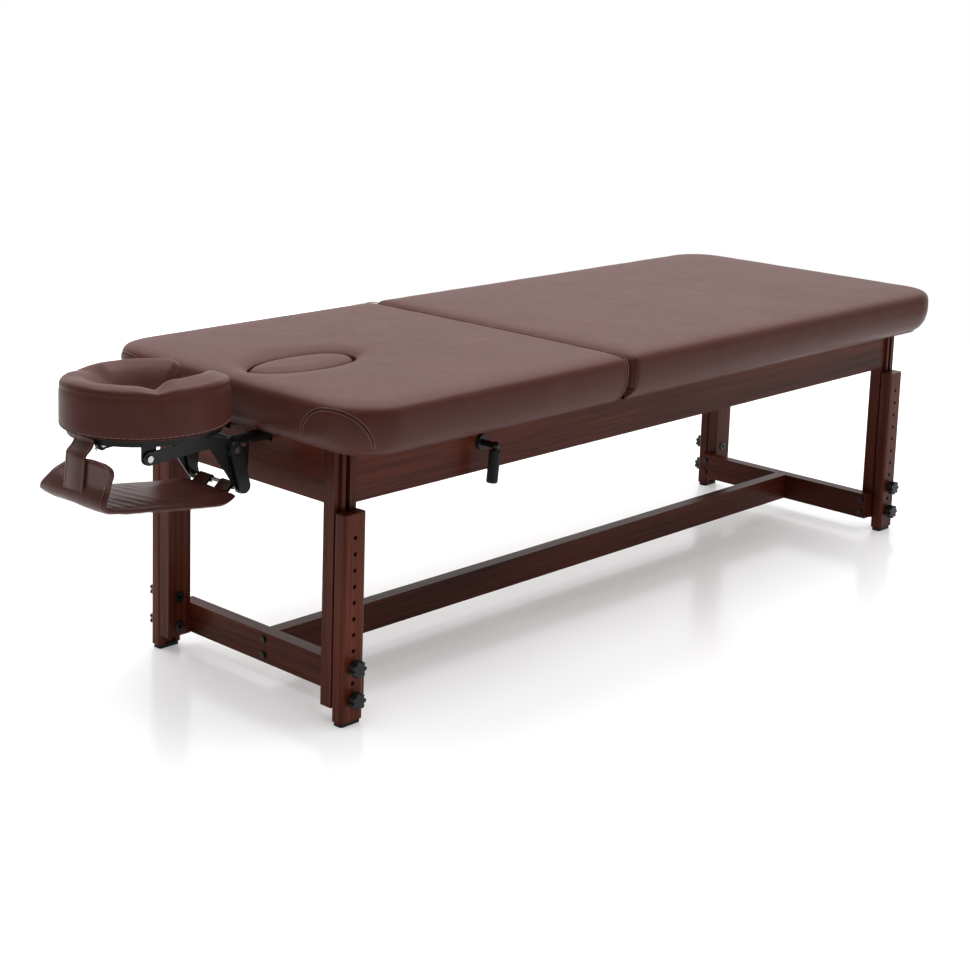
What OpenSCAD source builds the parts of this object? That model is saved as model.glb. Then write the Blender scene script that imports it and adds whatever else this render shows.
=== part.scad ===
// Stationary massage table with a wooden frame, a lifting head section, sliding
// height legs and a plug-in face cradle with an arm sling.
// Millimetres, +Z up. The head is at -X, the feet at +X, the release lever is at -Y.

/* [Pads] */
// Width of both pads
pad_w = 740; // [660:5:800]
// Length of the head pad
head_pad_l = 710; // [640:5:800]
// Length of the foot pad
foot_pad_l = 1170; // [1000:5:1250]
// Gap between the two pads, where the lifting hinge sits
pad_gap = 20; // [19:0.5:26]
// Thickness of the pads at the crown
pad_t = 84; // [78:1:90]
// Overhang of the head pad past the head legs
head_overhang = 50; // [45:1:70]
// Plan radius of the outer pad corners
pad_corner_r = 100; // [70:5:120]
// Plan radius of the foot pad's corners at the split
split_corner_r = 18; // [10:1:30]
// Thickness of the boards under the pads
deck_t = 12; // [9:1:18]
// How far the boards stay inside the pad's edge
deck_inset = 30; // [20:1:45]
// Length of the face hole in the head pad
face_hole_l = 250; // [200:5:260]
// Width of the face hole
face_hole_w = 126; // [100:2:130]
// Distance from the head pad's end to the middle of the face hole
face_hole_x = 192; // [180:1:230]

/* [Wooden frame] */
// Height of the rails' top edge with the legs pushed right in
rail_top = 512; // [490:1:530]
// Height of the rails and aprons
rail_h = 108; // [90:1:120]
// Width over the outer faces of the posts
frame_w = 495; // [440:5:540]
// Distance from the head posts to the foot posts, like face to like face
leg_span = 1790; // [1700:5:1850]
// Width of legs and posts along the table
leg_w = 54; // [48:1:60]
// Thickness of a sliding leg
leg_t = 28; // [26:1:34]
// Wooden height of a sliding leg
leg_h = 386; // [380:1:400]
// Rounding of the legs' upright edges
leg_edge_r = 7; // [3:0.5:9]
// Thickness of a fixed post, and of the side rails that meet it
post_t = 27; // [24:1:32]
// Height of the posts' lower end above the floor
post_bottom = 31; // [25:1:40]
// Width of the guide tongue on a post
tongue_w = 26; // [22:1:30]
// Height of the guide tongue
tongue_h = 6; // [4:0.5:8]
// Thickness of the head and foot aprons
apron_t = 22; // [18:1:26]
// Set-back of the aprons behind the posts' end faces
apron_inset = 8; // [4:1:12]
// Height of the crossbars and the stretcher
bar_h = 60; // [50:1:70]
// Thickness of the crossbars and the stretcher
bar_t = 28; // [24:1:32]
// Height of their lower edge above the floor
bar_bottom = 33; // [32:1:45]
// Height of the rubber foot caps
cap_h = 8; // [6:1:12]

/* [Height adjustment] */
// Number of holes in a leg
hole_count = 11; // [9:1:11]
// Spacing of the holes
hole_pitch = 30; // [25:1:30]
// Distance from the leg's top to its first hole
hole_first = 44; // [38:1:48]
// Radius of the holes
hole_r = 4.3; // [3.3:0.1:5]
// Radius of a star knob over its lobes
knob_r = 16; // [13:0.5:18]
// Thickness of a star knob
knob_t = 15; // [12:1:20]
// Holes, counted from the top, that hold the two knobs
knob_holes = [9, 11]; // [1:1:11]

/* [Head lift] */
// How far the hinge pins lie below the crown of the pads
hinge_drop = 12; // [10:0.5:12]
// Radius of the hinge pins
pin_r = 3; // [2.5:0.1:3.2]
// Radius of the hinge knuckles
knuckle_r = 6; // [5.5:0.1:6.5]
// Width of one hinge plate
strap_w = 30; // [24:1:36]
// Distance from each end of the gas spring to the hinge pins
strut_reach = 217; // [214:0.5:220]
// Angle of the gas spring's lower end past straight down from the hinge
strut_low_angle = 3; // [1:0.5:4]
// Angle of the gas spring's upper end from straight down
strut_high_angle = 61; // [60:0.5:62]
// Radius of the gas spring's cylinder
cylinder_r = 10; // [8:0.5:10]
// Radius of the gas spring's rod
rod_r = 4; // [3:0.5:5]

/* [Release lever] */
// Distance of the lever's shaft from the head posts' end faces
lever_x = 376; // [330:1:420]
// Height of the lever's shaft
lever_z = 460; // [440:1:470]
// Radius of the shaft
lever_shaft_r = 6; // [5:0.5:7]
// How far the lever's elbow stands out from the rail
lever_reach = 37; // [30:1:45]
// Length of the grip
grip_l = 62; // [50:1:75]
// Radius of the grip
grip_r = 11; // [9:0.5:13]

/* [Face cradle] */
// Distance from the head posts' end faces to the cushion's middle
cradle_x = 223; // [218:1:240]
// Half length of the cushion along the table
cushion_a = 152; // [145:1:155]
// Half width of the cushion
cushion_b = 143; // [135:1:148]
// Height of the cushion's flat underside
cushion_z = 548; // [545:1:560]
// Height of the cushion
cushion_t = 78; // [60:1:85]
// Thickness of the platform under the cushion
platform_t = 12; // [8:1:14]
// How far the platform stays inside the cushion's outline
platform_inset = 13; // [10:1:18]
// Radius of the two posts that plug in
prong_r = 8; // [7:0.5:9]
// Spacing of the two posts
prong_spacing = 118; // [116:1:122]
// Height of the posts' centre line
prong_z = 500; // [499:0.5:501]
// Distance of the tilt pivot from the head posts' end faces
tilt_x = 268; // [264:1:272]
// Height of the tilt pivot
tilt_z = 502; // [500:1:504]
// Distance of the arm pivot from the head posts' end faces
arm_x = 62; // [58:1:66]
// Height of the arm pivot
arm_z = 412; // [406:1:418]
// Distance of the clamp bolt from the head posts' end faces
clamp_x = 84; // [82:1:86]
// Height of the clamp bolt
clamp_z = 489; // [487:0.5:490]
// Thickness of the steel side plates
plate_t = 4; // [3:0.5:5]
// Swing of the arm, in degrees
arm_travel = 20; // [10:1:20]

/* [Arm sling] */
// Width of the sling's shelf
sling_w = 184; // [176:2:190]
// Thickness of the padded shelf
sling_t = 18; // [14:1:20]
// Width of the hanging strap
sling_strap_w = 52; // [40:1:60]

/* [Hidden] */
$fn = 48;

// Clearances and small shared sizes
run_gap = 0.05;
slide_gap = 0.5;
seat_gap = 0.3;
cut = 1;
round_facets = 32;

// Levels and places of the frame
floor_z = 0;
frame_y = frame_w / 2;
post_y = frame_y - post_t;
leg_y = frame_y + slide_gap;
leg_top = cap_h + leg_h;
rail_bottom = rail_top - rail_h;
deck_z = rail_top + seat_gap;
pad_z = deck_z + deck_t + seat_gap;
pad_top = pad_z + pad_t;
split_x = head_pad_l - head_overhang;
foot_pad_x = split_x + pad_gap;
table_end = foot_pad_x + foot_pad_l;
head_bar_x = leg_w;
foot_bar_x = leg_span - bar_t;

// The sling's run below the cradle, seen from the side
sling_rear_x = -76;
sling_rear_z = 400;
sling_sag = 8;
sling_front_x = -366;
sling_front_z = 438;
sling_up_x = -380;
sling_up_z = 514;

module place() {
    translate([-x_mid, 0, 0]) children();
}

// A piece drawn for the left side, at +Y, and mirrored for the right side
module on_side(right) {
    mirror([0, right ? 1 : 0, 0]) children();
}

// One corner of the table: its posts and legs start at that x
module at_corner(foot, right) {
    place() translate([foot ? leg_span : 0, 0, 0]) on_side(right) children();
}

module block(from, to) {
    translate(from) cube(to - from);
}

// A cylinder along Y between two y values
module rod_y(x, z, y_from, y_to, r) {
    translate([x, y_from, z]) rotate([-90, 0, 0]) cylinder(h = y_to - y_from, r = r);
}

// A cylinder along X between two x values
module rod_x(y, z, x_from, x_to, r) {
    translate([x_from, y, z]) rotate([0, 90, 0]) cylinder(h = x_to - x_from, r = r);
}

// A side view outline in x and z, given a thickness along Y
module side_plate(y_from, y_to) {
    translate([0, y_to, 0]) rotate([90, 0, 0]) linear_extrude(y_to - y_from) children();
}

module rounded_rect(size, r) {
    translate([r, 0]) square([size.x - 2 * r, size.y]);
    translate([0, r]) square([size.x, size.y - 2 * r]);
    for (px = [r, size.x - r])
        for (py = [r, size.y - r])
            translate([px, py]) circle(r);
}

// A slot outline with round ends along its length
module stadium(l, w) {
    square([l - w, w], center = true);
    for (side = [-1, 1])
        translate([side * (l - w) / 2, 0]) circle(w / 2);
}

// A flat bar between two points, with round ends
module bar_2d(p, q, rp, rq) {
    d = q - p;
    n = [-d.y, d.x] / norm(d);
    translate(p) circle(rp);
    translate(q) circle(rq);
    polygon([p + n * rp, q + n * rq, q - n * rq, p - n * rp]);
}

function ellipse_points(a, b, count) =
    [for (i = [0 : count - 1]) [a * cos(360 * i / count), b * sin(360 * i / count)]];

// Wooden frame

groove_w = 10;
groove_depth = 12;
insert_r = 5;
insert_flange_r = 11;
insert_flange_t = 2;
bolt_r = 4;
bolt_head_r = 7;
bolt_head_h = 4;
bolt_grip = 22;
bolt_edge_share = 0.24;

function knob_z(i) = leg_top - hole_first - (knob_holes[i] - 1) * hole_pitch;

bar_bolt_z = [bar_bottom + bar_h * bolt_edge_share, bar_bottom + bar_h * (1 - bolt_edge_share)];

module post(foot) {
    tongue_y = frame_y + tongue_h;
    bar_side = foot ? 0 : leg_w;
    difference() {
        union() {
            block([0, post_y, post_bottom], [leg_w, frame_y, rail_top]);
            block([(leg_w - tongue_w) / 2, frame_y - cut, post_bottom],
                  [(leg_w + tongue_w) / 2, tongue_y, rail_top]);
        }
        block([(leg_w - groove_w) / 2, tongue_y - groove_depth, post_bottom - cut],
              [(leg_w + groove_w) / 2, tongue_y + cut, rail_top + cut]);
        for (i = [0, 1])
            rod_y(leg_w / 2, knob_z(i), post_y - cut, frame_y, insert_r + run_gap);
        for (z = bar_bolt_z)
            rod_x(frame_y - post_t / 2, z, bar_side - bolt_grip, bar_side + bolt_grip,
                  bolt_r + run_gap);
    }
}

module post_node(foot, right) {
    color([0.24, 0.10, 0.07]) at_corner(foot, right) post(foot);
}

module crossbar(x_from, stretcher_side) {
    color([0.27, 0.11, 0.08]) place() difference() {
        block([x_from, -frame_y, bar_bottom], [x_from + bar_t, frame_y, bar_bottom + bar_h]);
        for (z = bar_bolt_z) {
            for (y = [-1, 1] * (frame_y - post_t / 2))
                rod_x(y, z, x_from - cut, x_from + bar_t + cut, bolt_r + run_gap);
            rod_x(0, z, x_from - cut, x_from + bar_t + cut, bolt_r + run_gap);
        }
    }
}

module crossbar_head() {
    crossbar(head_bar_x);
}

module crossbar_foot() {
    crossbar(foot_bar_x);
}

module stretcher() {
    color([0.27, 0.11, 0.08]) place() difference() {
        block([head_bar_x + bar_t, -bar_t / 2, bar_bottom], [foot_bar_x, bar_t / 2, bar_bottom + bar_h]);
        for (z = bar_bolt_z) {
            rod_x(0, z, head_bar_x, head_bar_x + bar_t + bolt_grip, bolt_r + run_gap);
            rod_x(0, z, foot_bar_x - bolt_grip, foot_bar_x + bar_t, bolt_r + run_gap);
        }
    }
}

// A bolt whose head sits at x and whose shank points along dir
module bolt_x(x, y, z, dir, shank) {
    translate([x, y, z]) rotate([0, dir * 90, 0]) {
        translate([0, 0, -cut]) cylinder(h = shank + cut, r = bolt_r);
        translate([0, 0, -bolt_head_h]) cylinder(h = bolt_head_h, r = bolt_head_r);
    }
}

module frame_bolts() {
    shank = bar_t + bolt_grip - cut;
    color([0.12, 0.12, 0.13]) place() for (z = bar_bolt_z) {
        for (y = [-1, 1] * (frame_y - post_t / 2)) {
            bolt_x(head_bar_x + bar_t, y, z, -1, shank);
            bolt_x(foot_bar_x, y, z, 1, shank);
        }
        bolt_x(head_bar_x, 0, z, 1, shank);
        bolt_x(foot_bar_x + bar_t, 0, z, -1, shank);
    }
}

module leg_inserts() {
    color([0.35, 0.35, 0.36])
        for (foot = [false, true])
            for (right = [false, true])
                at_corner(foot, right)
                    for (i = [0, 1]) difference() {
                        union() {
                            rod_y(leg_w / 2, knob_z(i), post_y - insert_flange_t, post_y, insert_flange_r);
                            rod_y(leg_w / 2, knob_z(i), post_y - insert_flange_t,
                                  frame_y + tongue_h - groove_depth, insert_r);
                        }
                        rod_y(leg_w / 2, knob_z(i), post_y - insert_flange_t - cut, frame_y, bolt_r - cut / 2);
                    }
}

lever_bore_r = lever_shaft_r + run_gap;

module side_rail(right) {
    color([0.30, 0.13, 0.09]) place() difference() {
        on_side(right) block([leg_w, post_y, rail_bottom], [leg_span, frame_y, rail_top]);
        if (right)
            rod_y(lever_x, lever_z, -frame_y - cut, -post_y + cut, lever_bore_r);
    }
}

module side_rail_right() {
    side_rail(true);
}

module side_rail_left() {
    side_rail(false);
}

socket_wall = 2.5;
socket_r = prong_r + socket_wall;
notch_gap = 2;

module apron_head() {
    notch = socket_r + notch_gap;
    color([0.30, 0.13, 0.09]) place() difference() {
        block([apron_inset, -post_y, rail_bottom], [apron_inset + apron_t, post_y, rail_top]);
        for (y = [-1, 1] * prong_spacing / 2)
            block([apron_inset - cut, y - notch, prong_z - notch],
                  [apron_inset + apron_t + cut, y + notch, rail_top + cut]);
    }
}

module apron_foot() {
    x_out = leg_span + leg_w - apron_inset;
    color([0.30, 0.13, 0.09]) place()
        block([x_out - apron_t, -post_y, rail_bottom], [x_out, post_y, rail_top]);
}

cross_rail_gap = 10;
cross_rail_t = 24;
cross_rail_h = 92;
cross_rail_x = foot_pad_x + cross_rail_gap;

module cross_rail() {
    color([0.42, 0.26, 0.16]) place()
        block([cross_rail_x, -post_y, rail_top - cross_rail_h],
              [cross_rail_x + cross_rail_t, post_y, rail_top]);
}

corner_block_l = 60;
corner_block_h = 80;

module corner_blocks() {
    z_from = rail_bottom + (rail_h - corner_block_h) / 2;
    head_x = apron_inset + apron_t;
    foot_x = leg_span + leg_w - head_x;
    color([0.42, 0.26, 0.16]) place()
        for (right = [false, true]) on_side(right) {
            translate([head_x, post_y, z_from]) linear_extrude(corner_block_h)
                polygon([[0, 0], [corner_block_l, 0], [0, -corner_block_l]]);
            translate([foot_x, post_y, z_from]) linear_extrude(corner_block_h)
                polygon([[0, 0], [0, -corner_block_l], [-corner_block_l, 0]]);
        }
}

// Sliding legs

leg_chamfer = 2;
channel_w = tongue_w + 2 * slide_gap;
channel_h = tongue_h + 2 * slide_gap;

module leg_node(foot, right) {
    color([0.27, 0.11, 0.08]) at_corner(foot, right) difference() {
        translate([0, leg_y, cap_h]) linear_extrude(leg_h) rounded_rect([leg_w, leg_t], leg_edge_r);
        block([(leg_w - channel_w) / 2, leg_y - cut, cap_h - cut],
              [(leg_w + channel_w) / 2, leg_y + channel_h - slide_gap, leg_top + cut]);
        for (i = [0 : hole_count - 1])
            rod_y(leg_w / 2, leg_top - hole_first - i * hole_pitch, leg_y - cut, leg_y + leg_t + cut, hole_r);
    }
}

cap_inset = 3;

module cap_node(foot, right) {
    size = [leg_w - 2 * cap_inset, leg_t - 2 * cap_inset];
    color([0.07, 0.07, 0.07]) at_corner(foot, right)
        translate([cap_inset, leg_y + cap_inset, floor_z]) linear_extrude(cap_h)
            rounded_rect(size, leg_edge_r - cap_inset / 2);
}

knob_lobes = 7;
knob_lobe_share = 0.26;
knob_hub_share = 0.62;
knob_hub_t = 4;
knob_gap = 0.2;
knob_bolt_tip = 2;

module knob_node(foot, right, i) {
    y_face = leg_y + leg_t + knob_gap;
    lobe_r = knob_r * knob_lobe_share;
    tip_y = frame_y + tongue_h - groove_depth + knob_bolt_tip;
    color([0.10, 0.10, 0.11]) at_corner(foot, right) {
        rod_y(leg_w / 2, knob_z(i), y_face, y_face + knob_hub_t, knob_r * knob_hub_share);
        translate([leg_w / 2, y_face + knob_hub_t, knob_z(i)]) rotate([-90, 0, 0])
            linear_extrude(knob_t) {
                circle(knob_r - lobe_r);
                for (k = [0 : knob_lobes - 1])
                    rotate(360 * k / knob_lobes) translate([knob_r - lobe_r, 0]) circle(lobe_r);
            }
        rod_y(leg_w / 2, knob_z(i), tip_y, y_face + cut, hole_r - run_gap);
    }
}

// Pads. A pad is a closed skin of rings. Each ring is the pad's outline drawn in
// by some share of the pad's thickness, at some share of that thickness in height.

// Draw-in and height of the side wall from the underside up to the crown, as
// shares of the pad's thickness
wall_shares = [[0.18, 0], [0.05, 0.24], [0, 0.48], [0.05, 0.71], [0.20, 0.84], [0.52, 0.93]];
// Height of the top over the distance from the rounded edge, as shares of the thickness
crown_shares = [[0, 0.48], [0.05, 0.71], [0.20, 0.84], [0.52, 0.93], [1, 0.976], [1.9, 0.995], [3, 1]];
corner_steps = 6;
side_steps = 6;
end_steps = 14;

function mix(p, q, s) = p + (q - p) * s;

// Points from p towards q, without q
function run_points(p, q, n) = [for (i = [0 : n - 1]) mix(p, q, i / n)];

function arc_points(c, r, from, n) =
    [for (i = [0 : n - 1]) c + r * [cos(from + 90 * i / n), sin(from + 90 * i / n)]];

// Outline of a pad from x0 to x1, counter-clockwise from the right corner at x0.
// The corner radii at the two ends may differ.
function pad_outline(x0, x1, half_w, r0, r1) = concat(
    arc_points([x0 + r0, -half_w + r0], r0, 180, corner_steps),
    run_points([x0 + r0, -half_w], [x1 - r1, -half_w], side_steps),
    arc_points([x1 - r1, -half_w + r1], r1, 270, corner_steps),
    run_points([x1, -half_w + r1], [x1, half_w - r1], end_steps),
    arc_points([x1 - r1, half_w - r1], r1, 0, corner_steps),
    run_points([x1 - r1, half_w], [x0 + r0, half_w], side_steps),
    arc_points([x0 + r0, half_w - r0], r0, 90, corner_steps),
    run_points([x0, half_w - r0], [x0, -half_w + r0], end_steps));

// Triangles between ring i and ring i + 1 of n points each, all seen from outside
function band(i, n) = [for (k = [0 : n - 1]) each
    let (k2 = (k + 1) % n, a = i * n + k, b = i * n + k2, c = (i + 1) * n + k2, d = (i + 1) * n + k)
    [[a, c, b], [a, d, c]]];

// A fan over the last ring (up) or the first ring (down)
function fan(start, n, centre, up) = [for (k = [0 : n - 1])
    let (a = start + k, b = start + (k + 1) % n)
    up ? [a, centre, b] : [b, centre, a]];

function lift(outline, z) = [for (p = outline) [p.x, p.y, z]];

function crown(d) = pad_z + pad_t * lookup(d / pad_t, crown_shares);

// Distance of a point from the nearest rounded side of the head pad
function edge_distance(p) =
    let (dx = p.x + head_overhang, dy = pad_w / 2 - abs(p.y), r = pad_corner_r)
    (dx < r && dy < r) ? r - norm([r - dx, r - dy]) : min(dx, dy);

function foot_ring(inset) = pad_outline(foot_pad_x + inset, table_end - inset,
    pad_w / 2 - inset, max(split_corner_r - inset, split_corner_r / 4 + inset / 8),
    max(pad_corner_r - inset, pad_corner_r / 4));

foot_top_shares = [1, 1.9, 3];

module foot_pad() {
    walls = [for (w = wall_shares) lift(foot_ring(w.x * pad_t), pad_z + w.y * pad_t)];
    tops = [for (s = foot_top_shares) lift(foot_ring(s * pad_t), crown(s * pad_t))];
    rings = concat(walls, tops);
    n = len(rings[0]);
    centre_x = (foot_pad_x + table_end) / 2;
    points = concat([for (r = rings) each r], [[centre_x, 0, pad_z], [centre_x, 0, pad_z + pad_t]]);
    faces = concat(
        [for (i = [0 : len(rings) - 2]) each band(i, n)],
        fan(0, n, len(points) - 2, false),
        fan((len(rings) - 1) * n, n, len(points) - 1, true));
    color([0.36, 0.20, 0.18]) place() polyhedron(points, faces, convexity = 4);
}

face_centre_x = face_hole_x - head_overhang;
hole_dip_share = 0.13;
split_edge_r = 0.4;

function head_ring(inset) = pad_outline(-head_overhang + inset, split_x, pad_w / 2 - inset,
    max(pad_corner_r - inset, pad_corner_r / 4), split_edge_r);

// Point of the face hole's oval that faces p
function hole_point(p) =
    let (angle = atan2(p.y, p.x - face_centre_x))
    [face_centre_x + face_hole_l / 2 * cos(angle), face_hole_w / 2 * sin(angle)];

function head_top_point(p, s) =
    let (q = mix(p, hole_point(p), s), away = norm(q - hole_point(p)),
         dip = pad_t * hole_dip_share * exp(-away / (face_hole_w * hole_dip_share)))
    [q.x, q.y, crown(edge_distance(q)) - dip];

module head_pad() {
    walls = [for (w = wall_shares) lift(head_ring(w.x * pad_t), pad_z + w.y * pad_t)];
    last = head_ring((wall_shares[len(wall_shares) - 1].x + hole_dip_share / 2) * pad_t);
    tops = [for (s = [0, 0.22, 0.45, 0.7, 0.86, 0.95, 1]) [for (p = last) head_top_point(p, s)]];
    hole_low = [for (p = last) let (h = hole_point(p)) [h.x, h.y, pad_z]];
    rings = concat(walls, tops, [hole_low]);
    n = len(rings[0]);
    m = len(rings);
    closing = [for (k = [0 : n - 1]) each
        let (k2 = (k + 1) % n, a = (m - 1) * n + k, b = (m - 1) * n + k2)
        [[a, k2, b], [a, k, k2]]];
    color([0.36, 0.20, 0.18]) place()
        polyhedron([for (r = rings) each r], concat([for (i = [0 : m - 2]) each band(i, n)], closing),
                   convexity = 6);
}

plug_gap = 1.6;
plug_sink = 12;
// Draw-in and height of the plug's edge, as shares of its height
plug_shares = [[0.06, 0], [0, 0.12], [0, 0.62], [0.05, 0.84], [0.20, 0.95], [0.5, 1]];
plug_steps = 40;

module face_plug() {
    h = pad_t - plug_sink;
    rings = [for (s = plug_shares)
        lift(ellipse_points(face_hole_l / 2 - plug_gap - s.x * h, face_hole_w / 2 - plug_gap - s.x * h,
                            plug_steps), pad_z + s.y * h)];
    top_bulge = h * hole_dip_share / 4;
    points = concat([for (r = rings) each r], [[0, 0, pad_z], [0, 0, pad_z + h + top_bulge]]);
    faces = concat(
        [for (i = [0 : len(rings) - 2]) each band(i, plug_steps)],
        fan(0, plug_steps, len(points) - 2, false),
        fan((len(rings) - 1) * plug_steps, plug_steps, len(points) - 1, true));
    color([0.34, 0.18, 0.16]) place() translate([face_centre_x, 0, 0])
        polyhedron(points, faces, convexity = 2);
}

// Boards under the pads

deck_end_gap = 12;
deck_ledge = 12;
strut_slot_w = 34;
strut_slot_l = 95;
deck_half = pad_w / 2 - deck_inset;
deck_corner_r = pad_corner_r - deck_inset;

// A board rounded at its two corners at x1, from a square end at x0
function board_outline(x0, x1) = let (r = deck_corner_r, h = deck_half) concat(
    [[x0, -h]],
    arc_points([x1 - r, -h + r], r, 270, corner_steps),
    [[x1, -h + r]],
    arc_points([x1 - r, h - r], r, 0, corner_steps),
    [[x1 - r, h], [x0, h]]);

module foot_deck() {
    color([0.45, 0.30, 0.18]) place()
        translate([0, 0, rail_top]) linear_extrude(deck_t)
            polygon(board_outline(foot_pad_x + deck_end_gap / 2, table_end - deck_inset));
}

module head_deck() {
    x_end = split_x - deck_end_gap;
    color([0.45, 0.30, 0.18]) place() difference() {
        translate([0, 0, deck_z]) linear_extrude(deck_t)
            mirror([1, 0]) polygon(board_outline(-x_end, head_overhang - deck_inset));
        translate([face_centre_x, 0, deck_z - cut]) linear_extrude(deck_t + 2 * cut)
            stadium(face_hole_l - 2 * deck_ledge, face_hole_w - 2 * deck_ledge);
        block([x_end - strut_slot_l, -strut_slot_w / 2, deck_z - cut],
              [x_end + cut, strut_slot_w / 2, deck_z + deck_t + cut]);
    }
}

batten_x = 130;
batten_l = 460;
batten_y = 145;
batten_w = 24;
batten_h = 26;

module deck_battens() {
    color([0.42, 0.26, 0.16]) place()
        for (right = [false, true]) on_side(right)
            block([batten_x, batten_y, deck_z - batten_h], [batten_x + batten_l, batten_y + batten_w, deck_z]);
}

// Lift hinge. The pins lie in the gap between the pads, just below their crowns, so
// that the head pad's end swings clear of the foot pad.

hinge_x = split_x + pad_gap / 2;
hinge_z = pad_top - hinge_drop;
neck_t = 3;
neck_inset = 2;
strap_l = 90;
hinge_y = 152;
hinge_step = strap_w + slide_gap;

module hinge_plates_moving() {
    x_neck = split_x + neck_inset;
    color([0.15, 0.15, 0.16]) place()
        for (right = [false, true]) on_side(right) translate([0, hinge_y + hinge_step, 0])
            difference() {
                union() {
                    block([split_x - strap_l, 0, deck_z - neck_t], [x_neck + neck_t, strap_w, deck_z]);
                    block([x_neck, 0, deck_z - neck_t], [x_neck + neck_t, strap_w, hinge_z]);
                    rod_y(hinge_x, hinge_z, 0, strap_w, knuckle_r);
                }
                rod_y(hinge_x, hinge_z, -cut, strap_w + cut, pin_r + run_gap);
            }
}

module hinge_plates_fixed() {
    x_neck = foot_pad_x - neck_inset - neck_t;
    z_low = rail_top - neck_t;
    color([0.15, 0.15, 0.16]) place()
        for (right = [false, true]) on_side(right) translate([0, hinge_y, 0])
            difference() {
                union() {
                    block([x_neck, 0, rail_top - cross_rail_h / 2], [x_neck + neck_t, strap_w, hinge_z]);
                    block([x_neck, 0, rail_top - cross_rail_h / 2],
                          [cross_rail_x, strap_w, rail_top - cross_rail_h / 2 + neck_t]);
                    block([cross_rail_x - neck_t, 0, rail_top - cross_rail_h / 2],
                          [cross_rail_x, strap_w, z_low]);
                    rod_y(hinge_x, hinge_z, 0, strap_w, knuckle_r);
                }
                rod_y(hinge_x, hinge_z, -cut, strap_w + cut, pin_r + run_gap);
            }
}

pin_head_r = 5;
pin_head_t = 2;

module hinge_pins() {
    y_end = hinge_y + hinge_step + strap_w;
    color([0.5, 0.5, 0.52]) place()
        for (right = [false, true]) on_side(right) {
            rod_y(hinge_x, hinge_z, hinge_y - slide_gap, y_end + slide_gap, pin_r);
            rod_y(hinge_x, hinge_z, hinge_y - slide_gap - pin_head_t, hinge_y - slide_gap, pin_head_r);
            rod_y(hinge_x, hinge_z, y_end + slide_gap, y_end + slide_gap + pin_head_t, pin_head_r);
        }
}

// Lockable gas spring between two brackets, each at the same distance from the hinge,
// so its two ends turn by half of the head section's angle

strut_low = [hinge_x + strut_reach * sin(strut_low_angle), hinge_z - strut_reach * cos(strut_low_angle)];
strut_high = [hinge_x - strut_reach * sin(strut_high_angle), hinge_z - strut_reach * cos(strut_high_angle)];
strut_closed = norm(strut_high - strut_low);
strut_pin_r = 4;
eye_r = 8;
eye_half = 8;
ear_t = 3;
ear_gap = 0.5;
rod_head_l = 20;
rod_end_gap = 18;
cylinder_end_gap = 22;
strut_bore_gap = 0.5;

// Local +Z runs from p to q, both given as x and z
module along(p, q) {
    d = q - p;
    translate([p.x, 0, p.y]) rotate([0, atan2(d.x, d.y), 0]) children();
}

module eye() {
    difference() {
        rotate([90, 0, 0]) cylinder(h = 2 * eye_half, r = eye_r, center = true);
        rotate([90, 0, 0]) cylinder(h = 2 * eye_half + 2 * cut, r = strut_pin_r + run_gap, center = true);
    }
}

module gas_cylinder() {
    neck_r = cylinder_r * 0.6;
    tube_l = strut_closed - cylinder_end_gap - eye_r;
    color([0.09, 0.09, 0.10]) place() along(strut_high, strut_low) difference() {
        union() {
            eye();
            translate([0, 0, eye_r - cut]) cylinder(h = eye_r + cut, r = neck_r);
            translate([0, 0, 2 * eye_r - cut]) cylinder(h = tube_l - eye_r + cut, r = cylinder_r);
        }
        translate([0, 0, rod_end_gap - 2 * cut]) cylinder(h = strut_closed, r = rod_r + strut_bore_gap);
    }
}

module gas_rod() {
    head_w = eye_r * 1.6;
    color([0.62, 0.63, 0.65]) place() along(strut_low, strut_high) {
        eye();
        translate([-head_w / 2, -eye_half, eye_r - cut])
            cube([head_w, 2 * eye_half, rod_head_l - eye_r + cut]);
        translate([0, 0, eye_r]) cylinder(h = strut_closed - rod_end_gap - eye_r, r = rod_r);
    }
}

// Two ears and a pin round a strut eye; the plate lies flat at the height z_plate
module ears(at) {
    for (side = [-1, 1])
        translate([0, side * (eye_half + ear_gap + ear_t / 2), 0])
            side_plate(-ear_t / 2, ear_t / 2) children();
    rod_y(at.x, at.y, -eye_half - ear_gap - ear_t, eye_half + ear_gap + ear_t, strut_pin_r);
}

bracket_l = 40;

module strut_bracket_high() {
    half_y = eye_half + ear_gap + ear_t;
    color([0.15, 0.15, 0.16]) place() {
        ears(strut_high) {
            translate(strut_high) circle(eye_r);
            translate([strut_high.x - eye_r, strut_high.y]) square([2 * eye_r, deck_z - strut_high.y]);
        }
        block([strut_high.x - bracket_l / 2, -half_y, deck_z - ear_t],
              [strut_high.x + bracket_l / 2, half_y, deck_z]);
    }
}

module strut_bracket_low() {
    half_y = eye_half + ear_gap + ear_t;
    color([0.15, 0.15, 0.16]) place() {
        ears(strut_low) {
            translate(strut_low) circle(eye_r);
            polygon([[strut_low.x - eye_r, strut_low.y], [strut_low.x + eye_r, strut_low.y],
                     [cross_rail_x, rail_top - cross_rail_h / 2],
                     [cross_rail_x - ear_t, rail_top - cross_rail_h / 2]]);
            translate([strut_low.x, rail_top - cross_rail_h])
                square([cross_rail_x - strut_low.x, cross_rail_h / 2]);
        }
        block([cross_rail_x - ear_t, -half_y, rail_top - cross_rail_h],
              [cross_rail_x, half_y, rail_top - cross_rail_h / 2]);
    }
}

// Release lever, its housing behind the rail, and the cable to the gas spring

boss_r = 15;
boss_t = 6;
housing_l = 46;
housing_h = 40;
housing_t = 20;
grip_lean = 6;
elbow_r = 8;

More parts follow.
